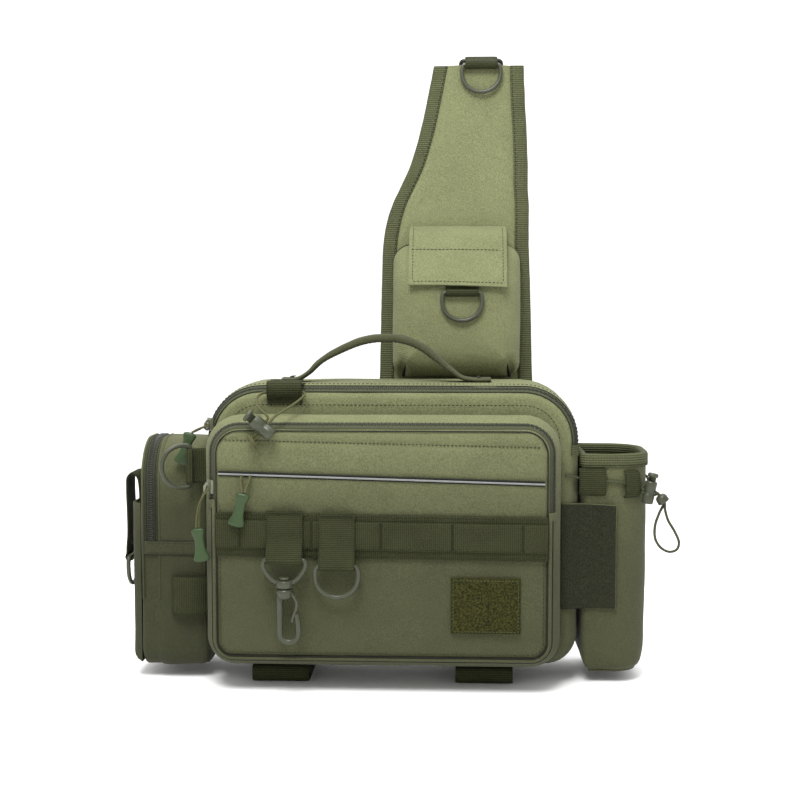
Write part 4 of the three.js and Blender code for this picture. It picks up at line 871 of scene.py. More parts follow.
def front_pocket():
    gusset = bulge(FRONT, FRONT_ROWS, on_front, 34, 3, 0, 0.35, 8)
    welt = tube(on_front(lower_arch(FRONT, 8.4, (135, 127), 240), 2.0), 1.35, 10)
    piece("front_pocket", [gusset, front_panel(), *welt], "fabric", ["front_pocket"])
    zip_parts(FRONT, FRONT_ZIP, "front_zipper", 1.5, "front_zipper")
    # painted shadow: near-black tubes around the front panel and along the lower welt stand in for the shade in the
    # seam grooves
    ring = on_front(spaced(outline(FRONT, 10.1), 420, True), 1.0)
    seams = tube(ring, 0.42, 8, closed=True)
    seams += tube(on_front(lower_arch(FRONT, 6.2, (135, 127), 200), 4.2), 0.28, 6)
    piece("front_seam_shadows", seams, "seam")
    lines = stitches(on_front(lower_arch(FRONT, 12.6, (134, 126), 200), 0.9), (0, -1, 0), 2.9, 1.9, 0.22)
    x = np.linspace(-111, 108, 160)
    height, slope, _ = SEAM_LINES[0]
    lines += stitches([(a, 1.25, height + slope * a) for a in x], (0, -1, 0), 2.7, 1.9, 0.26)
    piece("front_stitches", lines, "thread")
    for side, x in (("left", -120.3), ("right", 116.7)):
        stop = 136 if side == "left" else 128
        path = [(x, 4.6, stop - 5), (x, 4.2, stop - 2), (x, 3.9, stop + 1)]
        out = (-0.6, 0.8, 0) if side == "left" else (0.6, 0.8, 0)
        piece("front_zip_stop_" + side, ribbon(path, 8.6, 1.3, out, 6), "fabric")


def reflective_line():
    x = np.linspace(-115, 111, 120)
    line = [(a, -0.15, 152.2 - 0.0275 * a) for a in x]
    piece("reflective_strip", ribbon(line, 1.25, 0.9, (0, 0, 1), 4), "reflective", ["reflective_strip"])
    # painted shadow: near-black tubes along the slit and the reflective strip stand in for the shade in these grooves
    slit = tube([(a, 0.3, 153.6 - 0.0275 * a) for a in x], 0.7, 8)
    slit += tube([(a, 0.6, 150.9 - 0.0275 * a) for a in x], 0.3, 6)
    piece("slit_shadow_lines", slit, "seam")


MOLLE_SEAMS = (-100, -50, -1.8, 47.5, 96)


def molle_rows():
    x = np.linspace(-116, 113, 140)
    slope = -0.0105
    base = ribbon([(a, -0.95, 112.25 + slope * a) for a in x], 30.7, 1.1, (0, 0, 1), 12)
    piece("molle_base", base, "webbing", ["molle_base"])
    stops = np.array([-116, *MOLLE_SEAMS, 113])
    crown = []
    for a in x:
        k = min(max(int(np.searchsorted(stops, a)) - 1, 0), len(stops) - 2)
        share = (a - stops[k]) / (stops[k + 1] - stops[k])
        crown.append(0.75 * (1 - (2 * share - 1) ** 2) ** 0.7 if 0 <= share <= 1 else 0)
    band = ribbon([(a, -2.25 - c, 112.75 + slope * a) for a, c in zip(x, crown)], 19.7, 1.1, (0, 0, 1), 10)
    piece("molle_band", band, "webbing", ["molle_band"])
    threads = []
    for a in MOLLE_SEAMS:
        threads += bartack((a, -2.9, 112.75 + slope * a), (0, 0, 1), (1, 0, 0), (0, -1, 0), 19, 1.5)
    for offset in (-13.9, 13.9):
        threads += stitches([(a, -1.55, 112.25 + offset + slope * a) for a in x], (0, -1, 0), 2.6, 1.7, 0.24)
    piece("molle_stitches", threads, "thread")


def loop_patch():
    rows = []
    for z in np.linspace(44.9, 83.9, 30):
        row = []
        for x in np.linspace(46.5, 94.7, 36):
            edge = min(x - 46.5, 94.7 - x, z - 44.9, 83.9 - z)
            row.append((x, -0.35 - 1.75 * min(edge / 1.1, 1) ** 0.5 - 0.18 * noise.noise(Vector((x, 0, z)) / 1.7), z))
        rows.append(row)
    piece("loop_patch", [grid(rows)], "patch", ["loop_patch"])
    border = [(48.2, -2.1, 46.6), (93, -2.1, 46.6), (93, -2.1, 82.2), (48.2, -2.1, 82.2), (48.2, -2.1, 46.6)]
    frame_line = [np.array(a) + (np.array(b) - a) * s for a, b in zip(border, border[1:]) for s in np.linspace(0, 1, 20)]
    piece("patch_stitches", stitches(frame_line, (0, -1, 0), 2.4, 1.7, 0.3), "binding")


RING_LINE = [
    (-11.6, 0), (-14, -0.9), (-14.9, -3.4), (-14.9, -8), (-13.6, -13), (-10.2, -17.6), (-5.4, -20.4), (0, -21.4),
    (5.4, -20.4), (10.2, -17.6), (13.6, -13), (14.9, -8), (14.9, -3.4), (14, -0.9), (11.6, 0), (6, 0), (0, 0), (-6, 0),
]


def ring(name, place, body, along=(1, 0, 0), down=(0, 0, -1), frame_of=None):
    """A moulded D ring; along runs with its bar and down away from it."""
    a, d = unit(along), unit(down)
    line = curve([(x, 0, z) for x, z in RING_LINE], 110, closed=True, power=0.5)
    points = np.asarray(place, float) + line[:, :1] * a + line[:, 2:] * -d
    if frame_of:
        points = frame_of(points)
    piece(name, tube(points, 1.62, 14, closed=True), "plastic", [name], body)


def hanging_tab(name, x, top, strap_y, bar_y, bar_z):
    down = [(strap_y, top), (strap_y, bar_z + 22), (strap_y - 0.1, bar_z + 14), (bar_y - 1.2, bar_z + 6.5)]
    wrap = around_bar((bar_y, bar_z), 2.7, 165, 360, 12)
    up = [(bar_y + 2.3, bar_z + 4), (strap_y + 0.9, bar_z + 8.5)]
    line = curve(in_yz(down + wrap + up, x), 70)
    piece(name, ribbon(line, 25, 1.3, (1, 0, 0), 10), "webbing", [name])
    threads = bartack((x, strap_y - 0.75, 104.6), (1, 0, 0), (0, 0, 1), (0, -1, 0), 23, 1.8)
    # painted shadow: a near-black tube across the tab stands in for the shade in its crease
    crease_shadow = tube([(x + a, strap_y - 0.72, 103.1) for a in np.linspace(-12.3, 12.3, 12)], 0.4, 6)
    piece(name + "_crease", crease_shadow, "seam")
    threads += bartack((x, strap_y - 0.7, top - 2.4), (1, 0, 0), (0, 0, 1), (0, -1, 0), 22, 2.2)
    piece(name + "_stitches", threads, "thread")


def swivel_hook():
    x, y, z = -68.2, -8.2, 97.0
    eye_line = [(-12, 0), (-14.1, -0.9), (-14.8, -3.2), (-13.6, -7), (-9.8, -12.4), (-5.2, -15.8), (0, -16.4),
                (5.2, -15.8), (9.8, -12.4), (13.6, -7), (14.8, -3.2), (14.1, -0.9), (12, 0), (6, 0), (0, 0), (-6, 0)]
    line = curve([(x + a, y, z + b) for a, b in eye_line], 100, closed=True)
    collar = lathe([(2.3, -19.4), (5.2, -19.4), (5.7, -18.9), (5.7, -14.8), (5.2, -14.2), (2.3, -14.2)],
                   (x, y, z), (0, 0, 1))
    piece("hook_eye", tube(line, 1.62, 14, closed=True) + collar, "plastic", ["hook_eye"], "hook_eye")
    neck = lathe([(2, -21), (2, -13.9), (3.6, -13.9), (3.6, -12.4), (3, -11.9), (0, -11.9)], (x, y, z), (0, 0, 1), 20)
    body = lathe([(4.2, -26.6), (5.4, -25.6), (5.6, -22), (5, -20.3), (2, -20)], (x, y, z), (0, 0, 1), 24)
    bow = [(x - 3.2, z - 25), (x - 3.3, z - 32), (x - 3.2, z - 40), (x - 3.2, z - 47)]
    bow += around_bar((x + 3.2, z - 50.8), 6.4, 180, 360, 16)
    bow += [(x + 9.5, z - 46), (x + 8.9, z - 41), (x + 8.2, z - 37.5)]
    path = curve(in_xz(bow, y), 90)
    share = np.linspace(0, 1, 90)
    radius = 2.3 - 0.25 * share - 0.5 * np.clip((share - 0.92) / 0.08, 0, 1)
    piece("hook_body", neck + body + tube(path, radius, 14, flat=1.15, up=(0, 1, 0)), "plastic", ["hook_body"],
          "hook_body")
    leaf = curve(in_xz([(x + 4, z - 23.4), (x + 6.8, z - 26), (x + 8.6, z - 30), (x + 8.1, z - 34.2),
                        (x + 6.4, z - 38.5), (x + 5.3, z - 43.2)], y), 30)
    knuckle = tube([(x + 4, y - 1.2, z - 23.2), (x + 4, y + 1.2, z - 23.2)], 1.85, 14)
    piece("hook_gate", ribbon(leaf, 2.8, 2.1, (0, 1, 0), 3) + knuckle, "plastic", ["hook_gate"], "hook_gate")


GRIP_ROWS = [(0.4, 1.6, 1.2), (0, 2.6, 1.7), (-1.0, 3.7, 2.2), (-2.4, 3.7, 2.3), (-6.5, 2.75, 1.9), (-11, 2.75, 1.85),
             (-15.5, 3.1, 2.0), (-19.6, 4.4, 2.3), (-21.6, 4.5, 2.3), (-22.8, 3.6, 1.9), (-23.2, 2.2, 1.2)]


def pull_grip(name, place, turn):
    a = math.radians(turn)
    x, z = np.array((math.cos(a), 0, -math.sin(a))), np.array((math.sin(a), 0, math.cos(a)))
    rows = curve(GRIP_ROWS, 34)
    sections = []
    for height, wide, deep in rows:
        section = []
        for b in np.linspace(0, 2 * math.pi, 22, endpoint=False):
            c, s = math.cos(b), math.sin(b)
            section.append(np.array(place) + z * height + x * math.copysign(abs(c) ** 0.6, c) * wide * 1.26
                           + np.array((0, 1, 0)) * math.copysign(abs(s) ** 0.7, s) * deep)
        sections.append(section)
    return piece(name, capped(sections), "grip", [name])


def bottom_loop(name, x):
    path = [(47, 12), (36, 11.8), (31.4, 10.4), (30.2, 7), (30.9, 3), (34.4, 0.75), (50, 0.7), (70, 0.7),
            (88, 0.7), (100.6, 0.75), (104.1, 3), (104.8, 7), (103.6, 10.4), (99, 11.8), (88, 12)]
    piece(name, ribbon(curve(in_yz(path, x), 110), 41, 1.4, (1, 0, 0), 14), "webbing", [name])


# Left side

POUCH = {"centre": 72, "half": 38, "low": 8, "high": 175, "radii": {"br": 16, "tr": 30, "tl": 30, "bl": 16}}
POUCH_ROWS = [(3, 0), (0.6, 4), (0, 10), (-0.3, 22), (0, 34.6), (0.6, 35.4), (0.6, 45.4), (0.9, 46.6), (4, 48.4),
              (12, 48.9)]


def left_pouch():
    shell = bulge(POUCH, POUCH_ROWS, on_left, 40, 10, 0.4, 0.5, 12, head=4)
    welts = []
    for depth in (34.4, 46.4):
        welts += tube(on_left(arch(POUCH, 0.1, 60, 60, 200), depth), 0.9, 8)
    welts += tube(on_left(spaced(outline(POUCH, 2.2), 300, True), 2.2), 0.9, 8, closed=True)
    piece("left_pouch", [shell, *welts], "side", ["left_pouch"])
    tape = [on_left(arch(POUCH, inset, 101, 101, 200), depth)
            for inset, depth in ((1.2, 35.2), (0.1, 35.8), (0.0, 40.5), (0.1, 45.2), (1.2, 45.8))]
    piece("left_zipper", [grid(tape)], "tape", ["left_zipper"])
    flat = arch(POUCH, 0.0, 101, 101, 400)
    t = tangents(flat)
    out = on_left(np.stack([-t[:, 1], t[:, 0]], axis=1), -129.9)
    piece("left_zipper_coil", teeth(on_left(flat, 40.5), (1, 0, 0), out, 0, 4.2, 1.6, 0.9), "coil")
    # painted shadow: near-black tubes along both sides of the zip stand in for the shade at its seams
    edges = tube(on_left(arch(POUCH, 0.0, 101, 101, 200), 37.2), 0.3, 6)
    edges += tube(on_left(arch(POUCH, 0.0, 101, 101, 200), 43.8), 0.3, 6)
    piece("left_zipper_seam_shadows", edges, "seam")
    path = [(-137, 33.4, 97), (-150, 33.3, 97), (-164, 33.4, 97), (-174, 33.6, 97), (-177.4, 35.6, 97)]
    hem = ribbon(curve(path, 40), 9.6, 0.9, (0, 0, 1), 8)
    piece("pouch_hem", hem, "side")
    # painted shadow: near-black tubes at the hem's top and bottom edges stand in for the shade along its folds
    folds = []
    for z in (92.0, 101.9):
        folds += tube([(a, b - 0.1, z) for a, b, _ in curve(path, 40)], 0.3, 6)
    piece("pouch_hem_fold_shadows", folds, "seam")
    lines = []
    for z in (93.4, 100.6):
        lines += stitches([(a, b - 0.45, z) for a, b, _ in curve(path, 40)[:-4]], (0, -1, 0), 2.7, 1.8, 0.24)
    lines += stitches(on_left(arch(POUCH, -0.15, 103, 103, 200), 32.6), (0, -0.4, 1), 2.9, 1.9, 0.24)
    piece("pouch_stitches", lines, "thread")


def slip_pocket():
    rows, back = [], []
    for z in np.linspace(12, 129, 60):
        row, under = [], []
        for y in np.linspace(38, 106, 44):
            side = min(y - 38, 106 - y)
            low = z - 12
            gap = min(side, low) if min(side, low) < 12 else 12
            depth = 49.2 + 7.1 * (1 - math.exp(-gap / 2.4)) + 0.5 * noise.noise(Vector((0, y / 18, z / 22)))
            row.append((-129.9 - depth, y, z))
            under.append((-129.9 - max(depth - 1.6, 48.9), y, z))
        rows.append(row)
        back.append(under)
    top = [rows[-1], back[-1]]
    piece("slip_pocket", [grid(rows), grid(back), grid(top)], "side", ["slip_pocket"])
    hem = [(-129.9 - 56.6, y, 122) for y in np.linspace(44, 100, 40)]
    piece("slip_stitches", stitches(hem, (-1, 0, 0), 2.8, 1.9, 0.25), "thread")


def outer_strap():
    down = [(-181.7, 112), (-181.7, 126), (-181.9, 138), (-183.4, 146.4), (-187, 149.6), (-190.6, 146.6),
            (-191.3, 138), (-190.9, 120), (-190.9, 104), (-191.6, 96)]
    wrap = around_bar((-190, 87.4), 2.7, 140, 345, 14)
    line = curve(in_xz(down + wrap, 60), 110)
    piece("outer_strap", ribbon(line, 25, 1.3, (0, 1, 0), 10), "webbing", ["outer_strap"])
    bar = bartack((-191.7, 60, 98), (0, 1, 0), (0, 0, 1), (-1, 0, 0), 22, 2.2)
    piece("outer_strap_stitches", bar, "thread")
    ring("outer_ring", (-190, 60, 87.4), "outer_ring", (0, 1, 0))


def side_fittings():
    loop_path = [(-127.6, 32.2), (-130, 30.2), (-134, 28.4), (-141, 27.6), (-148, 28), (-152.4, 29.4), (-155, 32.8)]
    line = curve(in_xy(loop_path, 63), 50)
    piece("side_loop", ribbon(line, 27.5, 1.4, (0, 0, 1), 10), "webbing", ["side_loop"])
    centre = (-139, 24.6)
    path = [(-123.8, 28.1), (-129, 28.1), (-134, 27.7), (-137, 27.1)]
    wrap = around_bar(centre, 2.7, 75, 300, 14)
    line = curve(in_xy(path + wrap, 157.7), 60)
    piece("side_tab", ribbon(line, 25, 1.3, (0, 0, 1), 10), "webbing", ["side_tab"])
    down = (-math.cos(math.radians(30)), -math.sin(math.radians(30)), 0)
    ring("side_ring", (*centre, 157.7), "side_ring", (0, 0, 1), down)


# Right side

BOTTLE = {"centre": 163.4, "half": 23.9, "low": 34, "high": 110, "radii": {"br": 23, "tr": 23, "tl": 4, "bl": 4}}
BOTTLE_ROWS = [(20, 8.4), (13, 8.4), (8, 8.8), (3.5, 12), (1.2, 20), (0, 40), (-0.3, 90), (0, 150), (0.3, 165.5)]


def bottle_pocket():
    outer = [on_top(outline(BOTTLE, inset, 12, 14), depth) for inset, depth in curve(BOTTLE_ROWS, 60)]
    outer = ruffle(np.array(outer), 0.8, 30.0, 21)
    bottom = end_face(outer[0])
    inner_rows = [(2.1, 165.5), (1.8, 150), (1.8, 40), (3, 21), (5.3, 13.5), (9, 10.7), (14, 10.3), (20, 10.3)]
    inner = [on_top(outline(BOTTLE, inset, 12, 14), depth) for inset, depth in inner_rows]
    piece("bottle_pocket", [grid(outer, loop=True), bottom], "fabric", ["bottle_pocket"])
    piece("bottle_lining", [grid(inner, loop=True), end_face(inner[-1])], "lining")
    rim_rows = [(0.1, 157), (-1.4, 157.2), (-1.5, 160), (-1.5, 165), (-0.9, 166.6), (1, 166.9), (3, 166.6),
                (3.5, 165), (3.5, 159), (2.4, 158.5)]
    rim = [on_top(outline(BOTTLE, inset, 12, 14), depth) for inset, depth in rim_rows]
    piece("rim_band", [grid(ruffle(np.array(rim), 0.25, 14.0, 4), loop=True)], "binding", ["rim_band"])
    line = on_top(spaced(outline(BOTTLE, -1.6, 12, 14), 200, True), 158.6)
    threads = stitches(line, (0.2, -1, 0), 2.7, 1.8, 0.24)
    seam = on_top(spaced(outline(BOTTLE, 7.0, 12, 14), 160, True), 9.0)
    piece("bottle_stitches", threads, "thread")
    piece("bottle_base_seam", tube(seam, 0.9, 8, closed=True), "fabric")


def cord_loop(name, centre, width, angle):
    path = [(-0.6, 9.4), (-2.6, 8.2), (-3.9, 5), (-4.3, 0), (-3.9, -5), (-2.6, -8.2), (-0.6, -9.4)]
    a = math.radians(angle)
    across, out = np.array((math.cos(a), math.sin(a), 0)), np.array((-math.sin(a), math.cos(a), 0))
    line = [np.array(centre) + out * y + np.array((0, 0, z)) for y, z in path]
    piece(name, ribbon(curve(line, 40), width, 1.4, across, 8), "webbing", [name])
    threads = []
    for z in (8.6, -8.6):
        threads += bartack(np.array(centre) + out * -2.6 + np.array((0, 0, z)), across, (0, 0, 1), -out, width - 3, 1.4)
    piece(name + "_stitches", threads, "thread")


def velcro_panel():
    path = [(124.6, 27.5), (129, 27.8), (133.4, 29.8), (138, 32), (143, 32.6), (150, 32.7), (157, 32.4), (163.4, 31.6)]
    line = curve(in_xy(path, 94), 60)
    t = tangents(line)
    rows_front, rows_back = [], []
    for z in np.linspace(56.3, 131.7, 50):
        curl = max((z - 112) / 20, 0) ** 2
        front, back = [], []
        for i, p in enumerate(line):
            n = np.array((t[i][1], -t[i][0], 0))
            lift = 1.6 * curl * (i / 59) ** 3
            droop = -1.6 * (i / 59) * (z - 56) / 75
            front.append((p[0] + n[0] * 0.7, p[1] + n[1] * 0.7 - lift, z + droop))
            back.append((p[0] - n[0] * 0.6, p[1] - n[1] * 0.6 - lift, z + droop))
        rows_front.append(front)
        rows_back.append(back)
    f, b = np.array(rows_front), np.array(rows_back)
    border = [np.array([f[0], b[0]]), np.array([f[-1], b[-1]]), np.array([f[:, 0], b[:, 0]]),
              np.array([f[:, -1], b[:, -1]])]
    piece("velcro_panel", [grid(f), grid(b), *[grid(e) for e in border]], "panel", ["velcro_panel"])
    edge = list(tube(f[-1] * 0.5 + b[-1] * 0.5, 0.55, 6)) + list(tube(f[:, -1] * 0.5 + b[:, -1] * 0.5, 0.5, 6))
    piece("velcro_edge", edge, "fabric")


def cord_lock(prefix, centre, turn, size, body):
    """Barrel and button of a sprung cord lock, with the cord's slot cut through both."""
    a = math.radians(turn)
    axis = np.array((math.sin(a), 0, math.cos(a)))
    side = np.array((math.cos(a), 0, -math.sin(a)))
    r, half = size["radius"], size["length"] / 2
    barrel = lathe([(r - 1.2, -half), (r - 0.3, -half + 0.3), (r, -half + 1.2), (r, -1.2), (r - 0.35, -0.8),
                    (r - 0.35, 0.8), (r, 1.2), (r, half - 1.2), (r - 0.3, half - 0.3), (r - 0.9, half),
                    (size["bore"], half), (size["bore"], -half + size["floor"]), (0, -half + size["floor"])],
                   centre, axis, 36)
    top = half + size["travel"] + 0.6
    cap = size["cap"]
    foot = -half + size["floor"] + size["travel"] + 0.6
    button = lathe([(0, foot), (size["stem"], foot), (size["stem"], top), (cap, top), (cap, top + size["cap_high"] - 0.8),
                    (cap - 0.7, top + size["cap_high"]), (0, top + size["cap_high"] + 0.2)], centre, axis, 32)
    slot_low = block(centre, (18, size["slot"], 5), (side, (0, 1, 0), axis), 0.3)
    slot_high = block(np.array(centre) + axis * size["travel"] / 2, (14, size["slot"], 5 + size["travel"]),
                      (side, (0, 1, 0), axis), 0.3)
    lock = piece(prefix, barrel, "plastic", [prefix])
    knob = piece(prefix + "_button", button, "plastic", [prefix + "_button"], body)
    for obj, parts in ((lock, slot_low), (knob, slot_high)):
        carve(obj, parts)
    return lock, knob


def carve(obj, parts):
    """Cuts one closed form out of a piece and leaves a plain mesh."""
    cutter = piece("cutter", parts, "plastic")
    modifier = obj.modifiers.new("cut", "BOOLEAN")
    modifier.object = cutter
    modifier.operation = "DIFFERENCE"
    modifier.solver = "EXACT"
    for tool in (obj, cutter):
        weld(tool)
    graph = bpy.context.evaluated_depsgraph_get()
    mesh = bpy.data.meshes.new_from_object(obj.evaluated_get(graph))
    obj.modifiers.clear()
    if len(mesh.polygons) > 20:
        obj.data = mesh
    bpy.data.objects.remove(cutter)


def weld(obj):
    bm = bmesh.new()
    bm.from_mesh(obj.data)
    bmesh.ops.remove_doubles(bm, verts=bm.verts, dist=1e-6)
    bmesh.ops.recalc_face_normals(bm, faces=bm.faces)
    bm.to_mesh(obj.data)
    bm.free()


ROD_SIZE = {"radius": 4.9, "length": 17, "bore": 3.45, "floor": 3, "stem": 3.1, "cap": 4.3, "cap_high": 2.6,
            "travel": 3, "slot": 2.6}
HOLDER_SIZE = {"radius": 4.2, "length": 16.4, "bore": 3.05, "floor": 3, "stem": 2.75, "cap": 3.8, "cap_high": 2.6,
               "travel": 2.6, "slot": 3.1}


def cord_ends():
    """Locks, stopper, knot and pull grips at the cords' ends."""
    rod_lock, rod_button = cord_lock("rod_lock", (-82.6, -6.4, 187.9), -50.2, ROD_SIZE, "rod_lock_button")
    holder_lock, holder_button = cord_lock("holder_lock", (187.3, 36.3, 139.2), 12, HOLDER_SIZE, "holder_lock_button")
    a = math.radians(-35)
    axis = (math.sin(a), 0, math.cos(a))
    dome = lathe([(1.6, -2.6), (3.6, -3.1), (4.3, -2.9), (4.4, -1.9), (4.2, -1.2), (4.35, -0.6), (4.2, 0.6),
                  (3.7, 2.0), (2.6, 2.9), (1.2, 3.2)], (196.2, 36.6, 134.6), axis, 30)
    stopper = piece("cord_stopper", dome, "plastic", ["cord_stopper"])
    turn = math.radians(39.8)
    u, v = np.array((math.cos(turn), 0, -math.sin(turn))), np.array((0, 1, 0))
    angles = np.linspace(0, 2 * math.pi, 60, endpoint=False)
    coil = [np.array((-89.6, -6.4, 179.5)) + 3.5 * (math.cos(b) * u + math.sin(b) * v)
            + 0.7 * math.sin(2 * b) * np.cross(u, v) for b in angles]
    knot = piece("rod_knot", tube(coil, 1.55, 12, closed=True), "cord", ["rod_knot"])
    grip = pull_grip("front_pull_grip", (-130.4, 3.8, 116.1), -8)
    pull_grip("main_pull_grip", (-140.2, 31, 180.6), 18)
    pull_grip("slit_pull_grip", (-96.4, -6.6, 142.3), 14)


# Shoulder strap

STRAP_EDGES = [
    (-12, -10, 109), (14, -9.3, 108), (53, -8.7, 107.2), (84, -8.1, 106.4), (107, -7.4, 105.6), (123, -5.2, 105.6),
    (139, -0.6, 105.6), (154, 6.3, 104.8), (170, 13.3, 104.8), (193, 20.2, 104), (225, 27.1, 102.4),
    (248.5, 31.6, 101.6),
]


def strap_rows(count):
    return curve(STRAP_EDGES, count)


def shoulder_strap():
    rows = []
    for along, left, right in strap_rows(90):
        left, right = left + 1.3, right - 1.3
        wide = right - left
        front, back = [], []
        for s in np.sin(np.linspace(-math.pi / 2, math.pi / 2, 44)):
            x = (left + right) / 2 + s * wide / 2
            gap = wide / 2 * (1 - abs(s))
            puff = 1 - math.exp(-(max(gap - 9.0, 0)) / 3.0)
            front.append((x, 2.4 - 2.7 * puff, along))
            back.append((x, 5.2 + 2.6 * puff, along))
        rows.append(front + back[::-1])
    body = leaned(ruffle(np.array(rows), 0.6, 30.0, 31))
    strap = piece("strap_pad", capped(body), "fabric", ["strap_pad"])
    threads = []
    for side, sign, column in (("left", 1, 1), ("right", -1, 2)):
        section = [(10.8, 1.15), (9.6, 1.0), (5, 1.1), (0.6, 1.25), (-0.1, 2.2), (-0.1, 5.4), (0.6, 6.35), (5, 6.5),
                   (9.6, 6.6), (10.8, 6.4), (10.6, 5.7), (1.2, 5.5), (1.2, 2.1), (10.6, 2.0)]
        edge = [[(row[column] + sign * a, b, row[0]) for a, b in section] for row in strap_rows(110)]
        tape = capped(leaned(ruffle(np.array(edge), 0.18, 7.0, 40 + column)))
        piece("strap_binding_" + side, tape, "binding", ["strap_binding_" + side])
        for inset, y, out in ((9.4, 0.95, (0, -1, 0)), (9.4, 6.7, (0, 1, 0))):
            line = leaned(np.array([(row[column] + sign * inset, y, row[0]) for row in strap_rows(160)]))
            threads += stitches(line, out, 3.2, 2.1, 0.3)
    piece("strap_stitches", threads, "thread")


PHONE = {"centre": 49.8, "half": 48.8, "low": 4.6, "high": 107, "radii": {"br": 12, "tr": 14, "tl": 14, "bl": 12}}
PHONE_ROWS = [(1.5, 0.3), (0, 5), (0.6, 11), (3, 16.4), (6.6, 20.6), (11, 23.6), (16, 25.4), (21, 26.2)]


def tapered(points):
    """The strap pouch gets thinner toward its mouth."""
    p = np.array(points, float)
    along = np.clip((p[..., 2] - 70) / 37, 0, 1)
    share = 1 - 0.45 * along * along * (3 - 2 * along)
    p[..., 1] = np.where(p[..., 1] < -0.3, -0.3 + (p[..., 1] + 0.3) * share, p[..., 1])
    return p


def phone_shell(flat, depth):
    p = tapered(on_strap(flat, depth))
    low = np.clip((20 - p[..., 2]) / 12, 0, 1)
    for side in (9, 90.5):
        near = np.exp(-((p[..., 0] - side) / 3.6) ** 2)
        p[..., 1] = p[..., 1] + 8.0 * near * low * np.clip(-p[..., 1] / 16, 0, 1)
    return leaned(p)


def phone_pouch():
    shell = bulge(PHONE, PHONE_ROWS, phone_shell, 34, 12, 0.8, 0.7, 51)
    piece("phone_pouch", [shell], "fabric", ["phone_pouch"])
    trim = [phone_shell(arch(PHONE, inset, 88, 88, 120), depth) for inset, depth in
            ((0.9, 0.6), (-0.5, 1.0), (-0.7, 4), (-0.5, 8.4), (0.6, 8.8))]
    piece("phone_trim", [grid(trim)], "webbing")
    # painted shadow: tapering near-black tubes at the pouch's bottom corners stand in for the shade in its pinched
    # folds
    tuck_shadows = []
    for side, lean in ((9, 1), (90.5, -1)):
        flat = curve([(side, 5.5, 12), (side + lean * 1.2, 10, 19.3), (side + lean * 3, 16.5, 22)], 14)
        tuck_shadows += tube(phone_shell(flat[:, :2], flat[:, 2]), np.linspace(1.3, 0.25, 14), 8)
    piece("phone_tuck_shadows", tuck_shadows, "seam")


FLAP_PATH = [(-0.8, 121.4), (-8, 117.5), (-14, 112.5), (-17.4, 105.5), (-22.4, 93), (-27.8, 80), (-30.6, 71.5)]


def pouch_flap():
    line = curve([(50.75, y, z) for y, z in FLAP_PATH], 44)
    t = tangents(line)
    rows_top, rows_low = [], []
    for i, p in enumerate(line):
        n = np.array((0, t[i][2], -t[i][1]))
        share = i / 43
        top, low = [], []
        for s in np.linspace(-1, 1, 50):
            droop = 0.9 * s * share - 0.5 * (1 - s * s) * share
            at = p + (s * 37.25, 0, -droop)
            lift = 0.35 * noise.noise(Vector((s * 4, share * 5, 9))) + 0.5 * abs(s) ** 4
            top.append(at + n * (0.85 - lift * 0.6))
            low.append(at + n * (-0.85 - lift * 0.6))
        rows_top.append(top)
        rows_low.append(low[::-1])
    rows = [a + b for a, b in zip(rows_top, rows_low)]
    flap = piece("pouch_flap", capped(leaned(np.array(rows))), "fabric", ["pouch_flap"])
    top = np.array(rows_top)
    inner = [top[2:-3, 2], top[-3, 2:-2], top[2:-3, -3]]
    threads = []
    for path in inner:
        threads += stitches(leaned(path) + (0, -0.05, 0), (0, -0.9, 0.4), 2.8, 1.9, 0.26)
    threads += stitches(leaned(top[21, 1:-4]) + (0, -0.05, 0), (0, -0.9, 0.4), 2.8, 2.1, 0.3)
    piece("flap_stitches", threads, "thread")


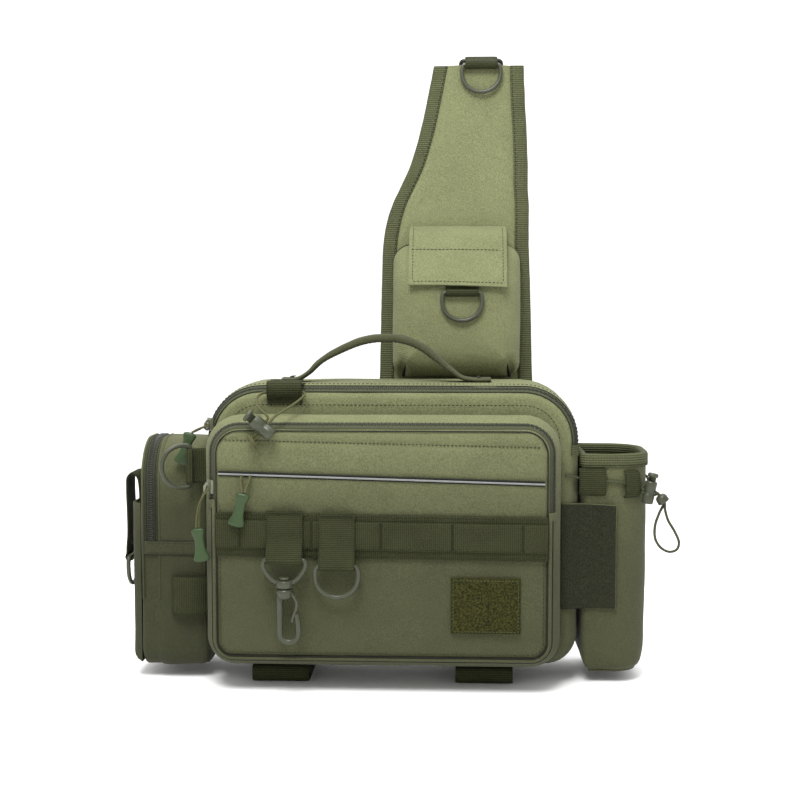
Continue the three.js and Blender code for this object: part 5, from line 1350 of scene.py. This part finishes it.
def strap_fittings():
    x, bar_y, bar_z = 54, -30.1, 66.9
    path = [(-27.4, 75.6), (-27.4, 71.5)] + around_bar((bar_y, bar_z), 2.7, 30, -215, 16)
    line = leaned(curve(in_yz(path, x), 60))
    piece("pouch_tab", ribbon(line, 25, 1.25, (1, 0, 0), 10), "webbing", ["pouch_tab"])
    ring("pouch_ring", (x, bar_y, bar_z), "pouch_ring", frame_of=leaned)
    x = 68.5
    front, back = (-3.6, 248), (6.8, 254)
    path = around_bar(front, 2.7, 350, 120, 14) + [(-1.6, 251.6), (3, 254.6)] + around_bar(back, 2.7, 110, -60, 12)
    path += [(8.6, 249.2), (8.7, 240), (8.8, 227)]
    line = leaned(curve(in_yz(path, x), 110))
    piece("top_tab", ribbon(line, 25, 1.3, (1, 0, 0), 10), "webbing", ["top_tab"])
    ring("top_ring", (x, *front), "top_ring", frame_of=leaned)
    low = (16.4, 241.2)
    down = unit((0, low[0] - back[0], low[1] - back[1]))
    long = math.hypot(low[0] - back[0], low[1] - back[1])
    flat = [(-14.2, 0), (-15.6, 1.4), (-15.6, long / 2), (-15.6, long - 1.4), (-14.2, long), (0, long),
            (14.2, long), (15.6, long - 1.4), (15.6, long / 2), (15.6, 1.4), (14.2, 0), (0, 0)]
    line = curve([np.array((x + a, *back)) + down * b for a, b in flat], 100, closed=True)
    piece("top_buckle", tube(leaned(line), 1.62, 12, closed=True), "black", ["top_buckle"])
    upper = [(14.2, 238.8), (12.6, 232), (10.6, 215), (9.4, 190), (9.4, 100), (9.4, 0), (8.6, -14)]
    wrap = around_bar(low, 2.7, 60, 215, 10)
    world_line = leaned(np.array(in_yz(wrap + upper, x))).tolist()
    world_line += [(x, 117.8, 184), (x, 115.8, 172), (x, 115.4, 120), (x, 115.2, 60)]
    line = curve(world_line, 200)
    piece("back_webbing", ribbon(line, 25, 1.4, (1, 0, 0), 8), "webbing", ["back_webbing"])


# Floor


def studio_floor():
    mesh = bpy.data.meshes.new("floor")
    size = 6.0
    mesh.from_pydata([(-size, -size, 0), (size, -size, 0), (size, size, 0), (-size, size, 0)], [], [(0, 1, 2, 3)])
    g = Graph("floor")
    at = g.node("TexCoord").outputs["Object"]
    tint = g.ramp(g.noise(at, 6, 2), (0.93, 0.93, 0.93), (0.96, 0.96, 0.96))
    mesh.materials.append(g.finish(tint, 0.8, g.bump(g.noise(at, 400, 2), 0.02, 0.0002)))
    floor = bpy.data.objects.new("floor", mesh)
    bpy.context.scene.collection.objects.link(floor)


main_compartment()
carry_handle()
rod_loop()
front_pocket()
reflective_line()
molle_rows()
loop_patch()
hanging_tab("hook_tab", -68.2, 130.8, -4.6, -8.2, 97)
hanging_tab("ring_tab", -32.2, 129, -4.6, -6.05, 92.2)
ring("front_ring", (-32.2, -6.05, 92.2), "front_ring")
swivel_hook()
bottom_loop("bottom_loop_left", -76.4)
bottom_loop("bottom_loop_right", 70.4)
left_pouch()
slip_pocket()
outer_strap()
side_fittings()
bottle_pocket()
cord_loop("cord_loop_front", (146.6, 34, 146.8), 19, 0)
cord_loop("cord_loop_side", (173.66, 35.99, 145.2), 11.4, 24)
velcro_panel()
cord_ends()
shoulder_strap()
phone_pouch()
pouch_flap()
strap_fittings()
studio_floor()
for node_name in ("main_slider", "front_slider"):
    for material_slot in frame["nodes"][node_name].material_slots:
        material_slot.material = MATERIALS["metal"]
